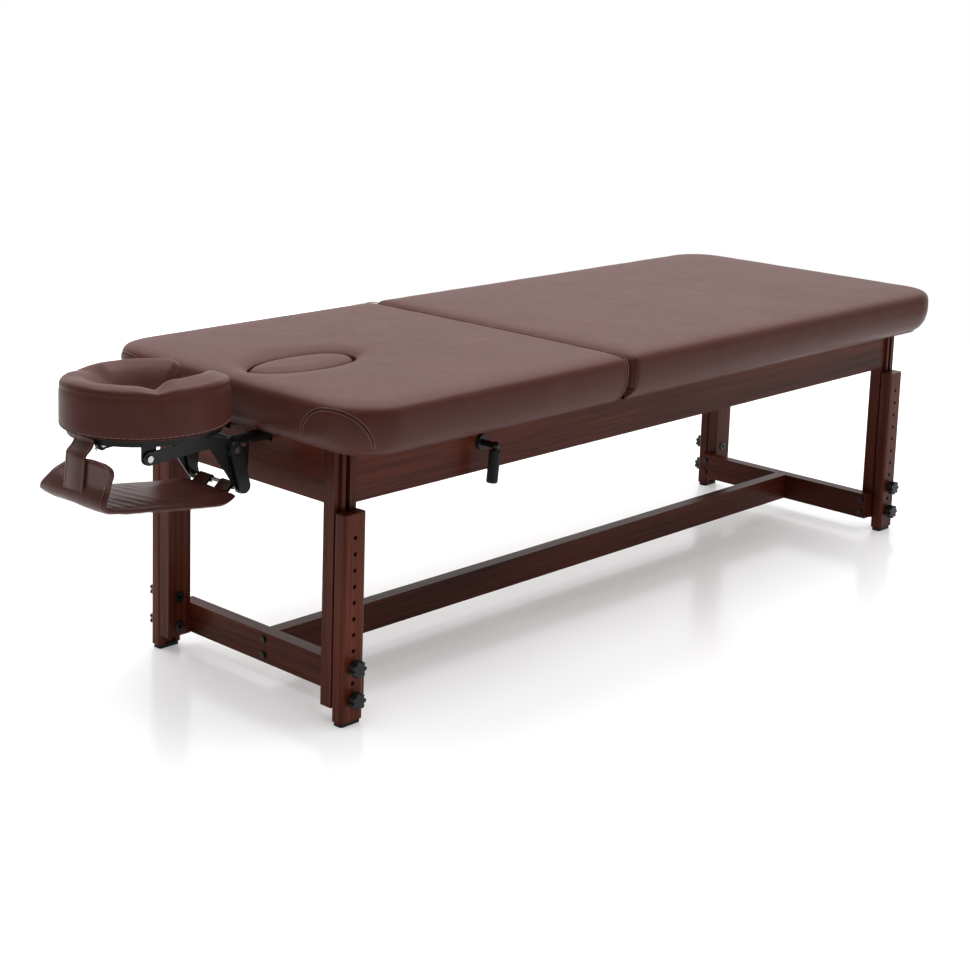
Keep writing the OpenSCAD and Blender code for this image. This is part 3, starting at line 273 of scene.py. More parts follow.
def wood(name, axis, dark, light, streak=(0.30, 0.17, 0.13), coat=0.04, offset=(0, 0, 0)):
    """Stained wood with its grain along one axis, under semi-gloss lacquer."""
    material, tree, shader = new_material(name)
    along = "xyz".index(axis)

    def grain(across, lengthways, **values):
        scale = [across] * 3
        scale[along] = lengthways
        vector = mapped(tree, scale, offset)
        return add(tree, "ShaderNodeTexNoise", [("Vector", vector)], **values).outputs["Fac"]

    bands = grain(14.0, 0.9, Scale=1, Detail=4, Roughness=0.55, Distortion=0.6)
    fibres = grain(95.0, 2.2, Scale=1.6, Detail=8, Roughness=0.7)
    pores = grain(420.0, 22.0, Scale=1, Detail=2)
    base = ramp(tree, bands, [(0.3, dark), (0.72, light)])
    lines = ramp(tree, fibres, [(0.36, streak), (0.60, grey(1))])
    tree.links.new(multiplied(tree, base, lines, 0.62), shader.inputs["Base Color"])
    tree.links.new(ranged(tree, fibres, 0.38, 0.26), shader.inputs["Roughness"])
    relief = add(tree, "ShaderNodeBump", [("Height", pores)], Strength=0.14, Distance=0.0004)
    tree.links.new(relief.outputs["Normal"], shader.inputs["Normal"])
    shader.inputs["Specular IOR Level"].default_value = 0.08
    shader.inputs["Coat Weight"].default_value = coat
    shader.inputs["Coat Roughness"].default_value = 0.22
    return material


def hard(name, dark, light, metallic=0.0, roughness=(0.3, 0.45), scale=60, relief=0.05, shine=0.3):
    """Paint, plastic, rubber or bright steel with slight unevenness."""
    material, tree, shader = new_material(name)
    vector = mapped(tree, (1, 1, 1))
    cloud = add(tree, "ShaderNodeTexNoise", [("Vector", vector)], Scale=scale, Detail=4, Roughness=0.6)
    grit = add(tree, "ShaderNodeTexNoise", [("Vector", vector)], Scale=scale * 22, Detail=2)
    tree.links.new(ramp(tree, cloud.outputs["Fac"], [(0.3, dark), (0.7, light)]), shader.inputs["Base Color"])
    tree.links.new(ranged(tree, cloud.outputs["Fac"], *roughness), shader.inputs["Roughness"])
    node = add(tree, "ShaderNodeBump", [("Height", grit.outputs["Fac"])], Strength=relief, Distance=0.0003)
    tree.links.new(node.outputs["Normal"], shader.inputs["Normal"])
    shader.inputs["Metallic"].default_value = metallic
    shader.inputs["Specular IOR Level"].default_value = shine
    return material


LEATHER = leather("leatherette", (0.074, 0.022, 0.017), (0.088, 0.029, 0.023), (0.36, 0.48))
SLING_LEATHER = leather("sling_leatherette", (0.066, 0.020, 0.015), (0.084, 0.027, 0.021), (0.28, 0.40),
                        shine=0.2)
SEAM = leather("seam_leatherette", (0.034, 0.011, 0.009), (0.044, 0.016, 0.012), (0.45, 0.6))
THREAD = hard("thread", (0.24, 0.13, 0.11), (0.30, 0.17, 0.15), roughness=(0.5, 0.65), scale=300)
LINING = hard("strap_lining", grey(0.010), grey(0.018), roughness=(0.6, 0.8), scale=400, relief=0.3)
DARK, LIGHT = (0.048, 0.009, 0.005), (0.160, 0.036, 0.016)
WOOD_X = wood("mahogany_x", "x", DARK, LIGHT)
WOOD_Y = wood("mahogany_y", "y", DARK, LIGHT, offset=(3, 0, 1))
WOOD_Z = wood("mahogany_z", "z", DARK, LIGHT, offset=(0, 5, 2))
PINE = wood("inner_wood", "x", (0.27, 0.15, 0.08), (0.36, 0.22, 0.13), streak=(0.5, 0.4, 0.32), coat=0.0)
PLY = wood("plywood", "y", (0.10, 0.045, 0.025), (0.15, 0.075, 0.045), streak=(0.6, 0.5, 0.42), coat=0.0)
BLACK_STEEL = hard("black_steel", grey(0.005), grey(0.011), roughness=(0.28, 0.42), relief=0.12)
GREY_STEEL = hard("grey_steel", (0.010, 0.011, 0.012), (0.018, 0.019, 0.021), roughness=(0.3, 0.42),
                  relief=0.1)
BRIGHT = hard("bright_steel", grey(0.42), grey(0.55), metallic=1.0, roughness=(0.16, 0.3))
PLASTIC = hard("black_plastic", grey(0.005), grey(0.010), roughness=(0.38, 0.5), relief=0.2)
RUBBER = hard("black_rubber", grey(0.005), grey(0.010), roughness=(0.6, 0.75), relief=0.3)
ROD = hard("polished_rod", grey(0.55), grey(0.70), metallic=1.0, roughness=(0.08, 0.16))

NODE_MATERIALS = [
    (WOOD_Z, ("post_", "leg_head", "leg_foot")),
    (WOOD_Y, ("crossbar_", "apron_")),
    (WOOD_X, ("side_rail_", "stretcher")),
    (PINE, ("cross_rail", "corner_blocks", "deck_battens")),
    (PLY, ("foot_deck", "head_deck")),
    (BLACK_STEEL, ("hinge_plates", "strut_bracket", "cradle_sockets", "cradle_base", "cradle_arm",
                   "release_lever", "frame_bolts", "gas_cylinder", "leg_inserts")),
    (GREY_STEEL, ("cam_lever",)),
    (BRIGHT, ("hinge_pins", "tilt_screws", "cradle_bolts")),
    (ROD, ("gas_rod",)),
    (PLASTIC, ("lever_housing", "cradle_platform", "knob_")),
    (RUBBER, ("lever_grip", "release_cable", "cap_")),
    (LEATHER, ("foot_pad", "head_pad", "face_plug", "cradle_cushion")),
    (SLING_LEATHER, ("arm_sling", "sling_loops", "sling_strap")),
]


def dress_nodes():
    for name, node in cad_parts.items():
        material = next(m for m, starts in NODE_MATERIALS if name.startswith(starts))
        node.data.materials.clear()
        node.data.materials.append(material)


def trim(piece, body):
    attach(piece, body)
    return piece


def finish_pad(piece, node, body):
    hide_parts(node)
    trim(piece, body)


# Camera, light and the release cable

# The photograph's camera: its turn in radians, its place in the CAD's millimetres, and its
# focal length and optical centre in pixels of the square picture
CAMERA_TURN = (0.7677, 0.1832, 0.0281)
CAMERA_PLACE = (-2221.8, -2636.4, 1383.6)
PICTURE, FOCAL = 970, 1926.6
CENTRE_PX = (440, 300)
SENSOR = 36


def build_camera():
    camera = bpy.data.objects.new("camera", bpy.data.cameras.new("camera"))
    bpy.context.collection.objects.link(camera)
    yaw, pitch, roll = CAMERA_TURN
    look = Vector((math.cos(yaw) * math.cos(pitch), math.sin(yaw) * math.cos(pitch), -math.sin(pitch)))
    level = look.cross(Vector((0, 0, 1))).normalized()
    right = math.cos(roll) * level + math.sin(roll) * level.cross(look)
    turn = Matrix((right, right.cross(look), -look)).transposed()
    camera.matrix_world = Matrix.Translation(pt(*CAMERA_PLACE)) @ turn.to_4x4()
    camera.data.sensor_width = SENSOR
    camera.data.lens = FOCAL / PICTURE * SENSOR
    camera.data.shift_x = (PICTURE / 2 - CENTRE_PX[0]) / PICTURE
    camera.data.shift_y = -(PICTURE / 2 - CENTRE_PX[1]) / PICTURE
    camera.data.clip_end = 60
    bpy.context.scene.camera = camera


def area_light(name, location, target, size, size_y, power):
    data = bpy.data.lights.new(name, "AREA")
    data.shape = "RECTANGLE"
    data.size, data.size_y, data.energy = size, size_y, power
    light = bpy.data.objects.new(name, data)
    light.rotation_mode = "QUATERNION"
    light.location = location
    light.rotation_quaternion = (Vector(target) - Vector(location)).to_track_quat("-Z", "Y")
    bpy.context.collection.objects.link(light)


FLOOR_R, FLOOR_SIDES = 3.4, 128
# The floor's glow in its middle and at its rim, and the two distances it changes between
GLOW, GLOW_REACH = (0.32, 0.8), (1.7, 3.3)
# The world's strength at the two ends of a span along the direction of the bright side
BRIGHT_SIDE = (0.69, 0.62, 0.37)
WORLD_SPAN, WORLD_LIGHT = (-0.35, 0.85), (0.02, 1.05)
# Area lights: place, target, width, height and power
LIGHTS = {"top": ((0.2, 0.3, 4.2), (0.1, 0, 0), 6, 6, 300),
          "key": ((0.6, -4.0, 1.7), (0, 0, 0.4), 2.6, 1.6, 5)}


def build_studio():
    floor_material, tree, shader = new_material("studio_floor")
    shader.inputs["Base Color"].default_value = (0.80, 0.80, 0.80, 1)
    shader.inputs["Roughness"].default_value = 0.16
    shader.inputs["Emission Color"].default_value = (1, 1, 1, 1)
    # The floor runs out into the white round it
    coords = add(tree, "ShaderNodeTexCoord")
    away = add(tree, "ShaderNodeVectorMath", [(0, coords.outputs["Object"])], operation="LENGTH")
    fade = add(tree, "ShaderNodeMapRange", [("Value", away.outputs["Value"])],
               interpolation_type="SMOOTHSTEP", From_Min=GLOW_REACH[0], From_Max=GLOW_REACH[1],
               To_Min=GLOW[0], To_Max=GLOW[1])
    tree.links.new(fade.outputs["Result"], shader.inputs["Emission Strength"])
    shader.inputs["Specular IOR Level"].default_value = 0.35
    edge = [(FLOOR_R * math.cos(a), FLOOR_R * math.sin(a), 0)
            for a in (2 * math.pi * k / FLOOR_SIDES for k in range(FLOOR_SIDES))]
    mesh_piece("studio_floor", edge, [tuple(range(FLOOR_SIDES))], floor_material)
    world = bpy.data.worlds.new("studio")
    bpy.context.scene.world = world
    world.use_nodes = True
    tree = world.node_tree
    shown = tree.nodes["Background"]
    shown.inputs["Color"].default_value = (1, 1, 1, 1)
    # The camera sees plain white; the light is bright on the far side and dim on the near
    coords = add(tree, "ShaderNodeTexCoord")
    toward = add(tree, "ShaderNodeVectorMath", [(0, coords.outputs["Generated"])], operation="DOT_PRODUCT")
    toward.inputs[1].default_value = BRIGHT_SIDE
    level = add(tree, "ShaderNodeMapRange", [("Value", toward.outputs["Value"])],
                From_Min=WORLD_SPAN[0], From_Max=WORLD_SPAN[1], To_Min=WORLD_LIGHT[0],
                To_Max=WORLD_LIGHT[1])
    lit = add(tree, "ShaderNodeBackground", [("Strength", level.outputs["Result"])], Color=(1, 1, 1, 1))
    path = add(tree, "ShaderNodeLightPath")
    mix = add(tree, "ShaderNodeMixShader", [(0, path.outputs["Is Camera Ray"]), (1, lit.outputs[0]),
                                            (2, shown.outputs[0])])
    tree.links.new(mix.outputs[0], tree.nodes["World Output"].inputs["Surface"])
    for name, settings in LIGHTS.items():
        area_light(name, *settings)
    bpy.context.scene.view_settings.view_transform = "Standard"


def bezier(a, b, c, t):
    return (1 - t) ** 2 * a + 2 * t * (1 - t) * b + t * t * c


CABLE_R, FERRULE_R, FERRULE_L = 3, 6, 12
BEND_STEPS = 16
CABLE_CORNERS = [(399, -214.5, 460), (519, -214.5, 460), (561.36, -214.5, 416), (681.36, -150, 382.9),
                 (681.36, -60, 379.9), (681.36, -23.5, 379.9)]


def release_cable():
    """The cable from the lever housing to the gas spring, on the CAD's own route."""
    corners = [pt(*c) for c in CABLE_CORNERS]
    route = [corners[0]]
    for i in range(1, len(corners) - 1):
        a, b = corners[i].lerp(corners[i - 1], 0.5), corners[i].lerp(corners[i + 1], 0.5)
        route += [bezier(a, corners[i], b, k / BEND_STEPS)
                  for k in range(0 if i == 1 else 1, BEND_STEPS + 1)]
    route.append(corners[-1])
    cable = tube("release_cable_jacket", route, CABLE_R * MM, RUBBER, sides=16)
    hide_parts("release_cable")
    tip = corners[-1] + Vector((0, FERRULE_L * MM, 0))
    ferrule = tube("release_cable_ferrule", [corners[-1], tip], FERRULE_R * MM, BRIGHT, sides=24)
    trim(cable, "frame")
    trim(ferrule, "frame")


# Pads. Draw-in and height over the pad's foot, in millimetres: from the board's top, down
# outside its edge, round the cover's lower hem and up to the crown
HEM = [(29.5, 0.3), (29.5, -11.9), (28.3, -12.0), (27.4, -9.0), (24.2, -7.2), (19.0, -3.4), (13.2, 2.6),
       (7.8, 11), (3.6, 21), (1.0, 32), (0.0, 42)]
CROWN = [(0.0, 56), (0.9, 66), (4.0, 73.8), (9.8, 79), (19, 82), (34, 83.8), (60, 84.8), (110, 85.4),
         (180, 85.8), (240, 86), (300, 86)]
PAD_SECTION = HEM[:2] + smooth_curve(HEM[2:] + CROWN, 4)
SECTION_BY_Z = [(z, inset) for inset, z in PAD_SECTION[3:] if z < 80]
CROWN_CURVE = smooth_curve([(0, 42)] + CROWN, 6)
CORNER_STEPS = 18


def pad_outline(x0, x1, half, r0, r1, side, end):
    """A rounded rectangle, counter-clockwise from its right corner at x0."""
    points = []

    def arc(cx, cy, r, start):
        points.extend((cx + r * math.cos(a), cy + r * math.sin(a))
                      for a in (math.radians(start + 90 * k / CORNER_STEPS) for k in range(CORNER_STEPS)))

    def run(p, q, count):
        points.extend((p[0] + (q[0] - p[0]) * k / count, p[1] + (q[1] - p[1]) * k / count)
                      for k in range(count))

    arc(x0 + r0, -half + r0, r0, 180)
    run((x0 + r0, -half), (x1 - r1, -half), side)
    arc(x1 - r1, -half + r1, r1, 270)
    run((x1, -half + r1), (x1, half - r1), end)
    arc(x1 - r1, half - r1, r1, 0)
    run((x1 - r1, half), (x0 + r0, half), side)
    arc(x0 + r0, half - r0, r0, 90)
    run((x0, half - r0), (x0, -half + r0), end)
    return points


SIDE_STEPS, END_STEPS = 110, 70
HEAD_STEPS = 80
# At the split each cover is drawn in by no more than this, up to this height over the board.
# On the board itself the corners at the split are all but square
FOOT_SPLIT_IN, FOOT_SPLIT_Z = 5.4, 9
HEAD_SPLIT_IN, ON_BOARD_Z = 11, 0.4
HEAD_SPLIT_R, ON_BOARD_R = 2.5, 1
LEAST_CORNER_R = 25


def foot_split_in(inset, z):
    return min(inset, FOOT_SPLIT_IN) if z < FOOT_SPLIT_Z else inset


def foot_split_corner(inset):
    return max(SPLIT_CORNER_R - inset, 4 + inset / 8)


def foot_outline(inset, z=50):
    return pad_outline(FOOT_START + foot_split_in(inset, z), FOOT_END - inset, PAD_W / 2 - inset,
                       ON_BOARD_R if z < ON_BOARD_Z else foot_split_corner(inset),
                       max(CORNER_R - inset, LEAST_CORNER_R), SIDE_STEPS, END_STEPS)


def head_outline(inset, z=50):
    at_split = min(inset, HEAD_SPLIT_IN) if z < ON_BOARD_Z else 0
    return pad_outline(HEAD_END + inset, SPLIT - at_split, PAD_W / 2 - inset,
                       max(CORNER_R - inset, LEAST_CORNER_R),
                       ON_BOARD_R if z < ON_BOARD_Z else HEAD_SPLIT_R, HEAD_STEPS, HEAD_STEPS)


# Near the split the hem is raised: fully as far out as the first of these distances from
# the middle line, and not at all past the second
RAISED_REACH = (250, 330)
RAISED_NEAR = 12
# How far free leather settles below its nominal height
SETTLE = 0.5


def looseness(z):
    """How free the leather is at height z: 0 at the hem, 1 from half way up the wall."""
    return ease(z, 6, 40)


def pad_ring(outline, inset, z):
    ring = []
    loose = looseness(z)
    for x, y in outline(inset, z):
        # Between the hinges the hem stays above the gas spring's way
        hem = min(z, 0)
        if SPLIT - RAISED_NEAR < x < FOOT_START + RAISED_NEAR:
            hem *= ease(abs(y), *RAISED_REACH)
        uneven = puckers(x, y, z) - SETTLE + quilt(x, y, inset)
        ring.append(pt(x, y, PAD_Z + max(z, hem) + uneven * loose))
    return ring


def puckers(x, y, z):
    """Slight unevenness of leatherette over foam, in millimetres."""
    p = Vector((x, y, z)) * MM
    return 0.5 * noise.noise(p * 9) + 0.25 * noise.noise(p * 31)


def quilt(x, y, inset):
    """Faint long waves on the pads' tops, in millimetres."""
    p = Vector((x * 0.0045, y * 0.010, 0.4))
    wave = math.sin(x / 58 + 1.6 * noise.noise(p * 2) + y / 260)
    return 0.42 * wave * ease(inset, 40, 150) * (0.6 + 0.8 * noise.noise(p * 1.3 + Vector((7, 3, 1))))


# The draw-in of the crown's last ring, and the share of the way from there to the pad's
# middle line that the cap's rings cover
CROWN_IN, CAP_SHARE = 300, 0.8
CAP_RINGS = 4


def foot_pad_cover():
    rings = [pad_ring(foot_outline, inset, z) for inset, z in PAD_SECTION]
    # The cap goes on inward, and the quads across the middle line close it
    last = foot_outline(CROWN_IN)
    for step in range(1, CAP_RINGS + 1):
        ring = []
        share = step / CAP_RINGS * CAP_SHARE
        for x, y in last:
            mx = min(max(x, FOOT_START + PAD_W / 2), FOOT_END - PAD_W / 2)
            qx, qy = x + (mx - x) * share, y * (1 - share)
            uneven = puckers(qx, qy, PAD_T) - SETTLE + quilt(qx, qy, CROWN_IN)
            ring.append(pt(qx, qy, PAD_Z + CROWN[-1][1] + uneven))
        rings.append(ring)
    size = len(rings[0])
    faces = ring_faces(len(rings), size)
    faces.append(tuple(reversed(range(size))))
    top, turn = (len(rings) - 1) * size, size - END_STEPS
    half = 2 * CORNER_STEPS + SIDE_STEPS
    faces += [(top + i, top + i + 1, top + turn - i - 1, top + turn - i)
              for i in range(CORNER_STEPS, half - CORNER_STEPS)]
    end_points = range(END_STEPS + 2 * CORNER_STEPS + 1)
    faces.append(tuple(top + (turn - CORNER_STEPS + k) % size for k in end_points))
    faces.append(tuple(top + half - CORNER_STEPS + k for k in end_points))
    verts = [p for ring in rings for p in ring]
    finish_pad(mesh_piece("foot_pad_cover", verts, faces, LEATHER), "foot_pad", "frame")


def edge_distance(x, y):
    dx, dy = x - HEAD_END, PAD_W / 2 - abs(y)
    if dx < CORNER_R and dy < CORNER_R:
        return CORNER_R - math.hypot(CORNER_R - dx, CORNER_R - dy)
    return min(dx, dy)


def hole_point(x, y):
    angle = math.atan2(y, x - HOLE_X)
    return HOLE_X + HOLE_L / 2 * math.cos(angle), HOLE_W / 2 * math.sin(angle)


HOLE_DIP, HOLE_DIP_REACH = 12, 13
TOP_SHARES = [i / 26 for i in range(1, 26)] + [0.975, 0.985, 0.993, 1.0]
LIP_DROPS = [1.0, 2.5, 5.0, 10.0, 30.0]
LIP_FOOT = 0.3
HEAD_RINGS = [s for s in PAD_SECTION if s[0] < 47 and s[1] < 79]


def head_pad_cover():
    rings = [pad_ring(head_outline, inset, z) for inset, z in HEAD_RINGS]
    last = head_outline(HEAD_RINGS[-1][0])
    for share in TOP_SHARES:
        ring = []
        for x, y in last:
            hx, hy = hole_point(x, y)
            qx, qy = x + (hx - x) * share, y + (hy - y) * share
            away = math.hypot(qx - hx, qy - hy)
            edge = edge_distance(qx, qy)
            z = PAD_Z + lookup(edge, CROWN_CURVE)
            z += puckers(qx, qy, z - PAD_Z) - SETTLE + quilt(qx, qy, edge) * ease(away, 10, 80)
            z -= HOLE_DIP * math.exp(-away / HOLE_DIP_REACH)
            ring.append(pt(qx, qy, z))
        rings.append(ring)
    lip = rings[-1]
    for drop in LIP_DROPS:
        rings.append([Vector((p.x, p.y, p.z - drop * MM)) for p in lip])
    rings.append([Vector((p.x, p.y, (PAD_Z + LIP_FOOT) * MM)) for p in lip])
    finish_pad(ring_piece("head_pad_cover", rings, LEATHER, loop=True), "head_pad", "head_section")


# Draw-in and height of the plug's cover, as shares of the plug's nominal height
PLUG_PROFILE = [(0.06, 0), (0.015, 0.05), (0.0, 0.14), (0.0, 0.60), (0.0, 0.80), (0.02, 0.91),
                (0.07, 1.01), (0.15, 1.075), (0.29, 1.12), (0.5, 1.145), (0.84, 1.15)]
PLUG_STEPS = 120


def face_plug_cover():
    h = PAD_T - PLUG_SINK
    rings = []
    for share, height in smooth_curve(PLUG_PROFILE, 4):
        a, b = HOLE_L / 2 - PLUG_GAP - share * h * 1.2, HOLE_W / 2 - PLUG_GAP - share * h
        ring = []
        for k in range(PLUG_STEPS):
            t = 2 * math.pi * k / PLUG_STEPS
            x, y = HOLE_X + a * math.cos(t), max(b, 0.6) * math.sin(t)
            z = PAD_Z + height * h + puckers(x, y, 40) * 0.6 * ease(height, 0.3, 0.9) - 0.3
            ring.append(pt(x, y, max(z, PAD_Z)))
        rings.append(ring)
    finish_pad(ring_piece("face_plug_cover", rings, LEATHER), "face_plug", "face_plug")


# A sewn corner panel: an arched seam from the pad's end, over the corner, to its side
PANEL_END_Y, PANEL_TURN = 207, 0.99
PANEL_LOW, PANEL_HIGH = -7, 70
ARCH_STEPS, ARCH_POWER = 120, 2.4
ROW_OFF = 2.8
# Radii of the three kinds of corded seam, and how far cords and stitches lie off the leather
CORNER_CORD_R, SPLIT_CORNER_CORD_R, SPLIT_CORD_R = 0.9, 1.0, 0.8
CORD_LIFT, STITCH_LIFT, SPLIT_STITCH_LIFT = 0.1, 0.35, 0.4


def corner_seam(end_x, direction, side, lift, shrink=0.0):
    """Points of the arch round one corner, lift millimetres off the leather."""
    half, r = PAD_W / 2, CORNER_R
    on_end = half - r - PANEL_END_Y
    total = on_end + PANEL_TURN * r
    spread = 1 - 2 * shrink / total
    points = []
    for i in range(ARCH_STEPS + 1):
        t = i / ARCH_STEPS
        z = PANEL_LOW + (PANEL_HIGH - shrink - PANEL_LOW) * (1 - abs(2 * t - 1) ** ARCH_POWER) ** 0.5
        drawn = lookup(z, SECTION_BY_Z) - lift
        s = total / 2 + (t - 0.5) * total * spread
        if s < on_end:
            x, y, nx, ny = 0, PANEL_END_Y + s, -1, 0
        else:
            a = (s - on_end) / r
            x, y = r - r * math.cos(a), half - r + r * math.sin(a)
            nx, ny = -math.cos(a), math.sin(a)
        points.append(pt(end_x + direction * (x - nx * drawn), side * (y - ny * drawn),
                         PAD_Z + z + lift * ease(z, 45, 70) - SETTLE * looseness(z)))
    return points


def split_profile(lift):
    """The head pad's outline at the split, from low on the right over the top to low on the left."""
    side = [(PAD_W / 2 - inset + lift * (z < 67), PAD_Z + z - SETTLE * looseness(z) + lift * (z > 60))
            for inset, z in PAD_SECTION[3:]]
    return [(-y, z) for y, z in side] + [(y, z) for y, z in reversed(side)]


SPLIT_SEAM_IN, SPLIT_ROW_OFF = 7, 3
SPLIT_CORNER_TOP, SPLIT_CORNER_SUNK = 76, 0.4
# How far an arc's middle lies from the sides it rounds, as a share of its radius
ARC_TO_CORNER = 0.29


def pad_seams():
    for name, end_x, direction, side, body in (
            ("head_right", HEAD_END, 1, -1, "head_section"), ("head_left", HEAD_END, 1, 1, "head_section"),
            ("foot_right", FOOT_END, -1, -1, "frame"), ("foot_left", FOOT_END, -1, 1, "frame")):
        cord = corner_seam(end_x, direction, side, CORD_LIFT)
        trim(tube(f"corner_seam_{name}", cord, CORNER_CORD_R * MM, SEAM), body)
        rows = [corner_seam(end_x, direction, side, STITCH_LIFT, off) for off in (ROW_OFF, -ROW_OFF)]
        trim(stitches(f"corner_stitches_{name}", rows, THREAD), body)
    for side, name in ((-1, "right"), (1, "left")):
        line = []
        for inset, z in PAD_SECTION[8:]:
            if z > SPLIT_CORNER_TOP:
                break
            corner = ARC_TO_CORNER * foot_split_corner(inset)
            line.append(pt(FOOT_START + foot_split_in(inset, z) + corner,
                           side * (PAD_W / 2 - inset - corner), PAD_Z + z - SPLIT_CORNER_SUNK))
        trim(tube(f"split_corner_seam_{name}", line, SPLIT_CORNER_CORD_R * MM, SEAM), "frame")
    cord = [pt(SPLIT - SPLIT_SEAM_IN, y, z) for y, z in split_profile(CORD_LIFT)]
    trim(tube("split_end_seam", cord, SPLIT_CORD_R * MM, SEAM), "head_section")
    rows = [[pt(SPLIT - SPLIT_SEAM_IN - off, y, z) for y, z in split_profile(SPLIT_STITCH_LIFT)]
            for off in (SPLIT_ROW_OFF, -SPLIT_ROW_OFF)]
    trim(stitches("split_end_stitches", rows, THREAD), "head_section")


# Cradle cushion. Share of the ring's width (0 at the face, 1 outside) and of its height
CUSHION_SECTION = [(0.94, 0.0), (0.985, 0.04), (1.0, 0.14), (1.0, 0.42), (0.998, 0.72), (0.986, 0.83),
                   (0.986, 0.895), (0.962, 0.95), (0.92, 0.985), (0.86, 1.004), (0.78, 1.01), (0.58, 0.975),
                   (0.38, 0.87), (0.2, 0.74), (0.08, 0.58), (0.02, 0.44), (0.0, 0.34), (0.03, 0.1),
                   (0.06, 0.02), (0.1, 0.0)]
MOUTH_ANGLE = 26
FACE_A, FACE_B, PLATFORM_INSET = 78, 58, 13
LOBE_SHARES = [(0.0, 0.62), (0.006, 0.84), (0.018, 0.97), (0.04, 1.0)]
# Share of the cushion's height that a lobe would keep where it is drawn in to no width
LEAST_HEIGHT_SHARE = 0.62
# Angles at which the wings start, and the turn in which they reach their full rise
NEAR_WING, FAR_WING, WING_TURN = 243, 112, 14
# How much the top rises at the back and everywhere, and the inner edge by itself and at a wing
BACK_RISE, EVEN_RISE, INNER_RISE, WING_RISE = 8, 2.5, 2, 7.5
# The leather's valleys and creases by their depth and their width in degrees, and its
# pleats by their angle and depth, with one width
NEAR_VALLEY, FAR_VALLEY = (6.5, 9), (3.0, 8)
CREASE_DEPTH, CREASE_WIDTH = 1.5, 1.6
INNER_PLEATS, PLEAT_WIDTH = [(112, 1.6), (121, 1.3), (138, 0.9), (150, 1.2)], 1.5


def cushion_ring(s, section):
    a = math.radians(MOUTH_ANGLE + (360 - 2 * MOUTH_ANGLE) * s)
    degrees = math.degrees(a)
    k = lookup(min(s, 1 - s), LOBE_SHARES)
    out = Vector((CUSHION_A * math.cos(a), CUSHION_B * math.sin(a)))
    inn = Vector(((FACE_A - PLATFORM_INSET) * math.cos(a), (FACE_B - PLATFORM_INSET / 2) * math.sin(a)))
    middle = (out + inn) / 2
    height = CUSHION_T * (LEAST_HEIGHT_SHARE + (1 - LEAST_HEIGHT_SHARE) * k)
    near = ease(degrees, NEAR_WING, NEAR_WING + WING_TURN)
    wing = max(near, 1 - ease(degrees, FAR_WING - WING_TURN, FAR_WING))
    rise = BACK_RISE * ease(degrees, 130, 190) * (1 - ease(degrees, 285, 330)) + EVEN_RISE
    valley = NEAR_VALLEY[0] * bump(degrees, NEAR_WING, NEAR_VALLEY[1])
    valley += FAR_VALLEY[0] * bump(degrees, FAR_WING, FAR_VALLEY[1])
    crease = bump(degrees, NEAR_WING, CREASE_WIDTH) + 0.5 * bump(degrees, FAR_WING, CREASE_WIDTH)
    pleats = sum(depth * bump(degrees, at, PLEAT_WIDTH) for at, depth in INNER_PLEATS)
    ring = []
    for share, h in section:
        q = middle + (inn.lerp(out, share) - middle) * k
        top = ease(h, 0.5, 0.95)
        inner = ease(share, 0.05, 0.35) * (1 - ease(share, 0.55, 0.9)) * ease(h, 0.4, 0.7)
        wall = ease(share, 0.85, 1.0) * ease(h, 0.5, 0.9)
        z = h * height + rise * top - valley * top * (1 - 0.55 * wall) - CREASE_DEPTH * crease * top
        z += (INNER_RISE + WING_RISE * wing) * inner
        pleat = pleats * (1 - ease(share, 0.2, 0.7)) * ease(h, 0.1, 0.3)
        q = q * (1 - 0.012 * crease * wall) + q.normalized() * pleat
        wrinkle = 0.8 * noise.noise(Vector((q.x * 0.03, q.y * 0.03, z * 0.02))) * top
        wrinkle += 0.35 * noise.noise(Vector((q.x * 0.11, q.y * 0.11, z * 0.05))) * ease(h, 0.05, 0.3)
        ring.append(pt(CRADLE_X + q.x, q.y, CUSHION_Z + max(z + wrinkle, 0)))
    return ring


# Shares of the way round the ring, closer together near its two ends
END_SHARES = (0, 0.004, 0.008, 0.012, 0.02, 0.028, 0.035, 0.047, 0.058)
CUSHION_STEPS = sorted({s for e in END_SHARES for s in (e, 1 - e)}
                       | {0.07 + 0.86 * i / 170 for i in range(171)})


def cradle_cushion_cover():
    section = smooth_curve(CUSHION_SECTION + [CUSHION_SECTION[0]], 4)[:-1]
    rings = [list(reversed(cushion_ring(s, section))) for s in CUSHION_STEPS]
    finish_pad(ring_piece("cradle_cushion_cover", rings, LEATHER), "cradle_cushion", "cradle_cushion")
    # The lower seam and the staples stop short of the lobes' ends
    edge = [cushion_ring(s, [(0.985, 0.04)])[0] for s in CUSHION_STEPS[4:-4]]
    trim(tube("cushion_lower_seam", edge, 0.9 * MM, SEAM), "cradle_cushion")
    low = [cushion_ring(s, [(1.0, 0.075)])[0] for s in CUSHION_STEPS[8:-8]]
    staples = stitches("cushion_staples", [low], THREAD, pitch=11 * MM, radius=0.5 * MM)
    trim(staples, "cradle_cushion")


# Arm sling: middle line in x and z, reach to the near and the far side, thickness share
SLING_W, SLING_T = 184, 18
SLING_LINE = [(-76, 400, 0.72, 0.72, 0.35), (-87.6, 401.5, 0.86, 0.86, 0.8), (-116.6, 398.4, 0.96, 0.96, 1),
              (-163, 403.4, 1, 1, 1), (-221, 411, 1, 1, 1), (-279, 418.6, 1, 1, 1), (-331.2, 425.4, 1, 1, 1),
              (-373, 438, 1, 1.07, 1), (-370, 468.4, 1.04, 0.78, 0.9), (-371, 485.1, 1.12, 0.50, 0.8),
              (-372, 500.3, 1.2, 0.18, 0.7), (-373, 510.2, 1.16, -0.2, 0.6), (-373.5, 515, 0.98, -0.6, 0.3)]
SLING_STEPS = 9
SLING_ACROSS = 48
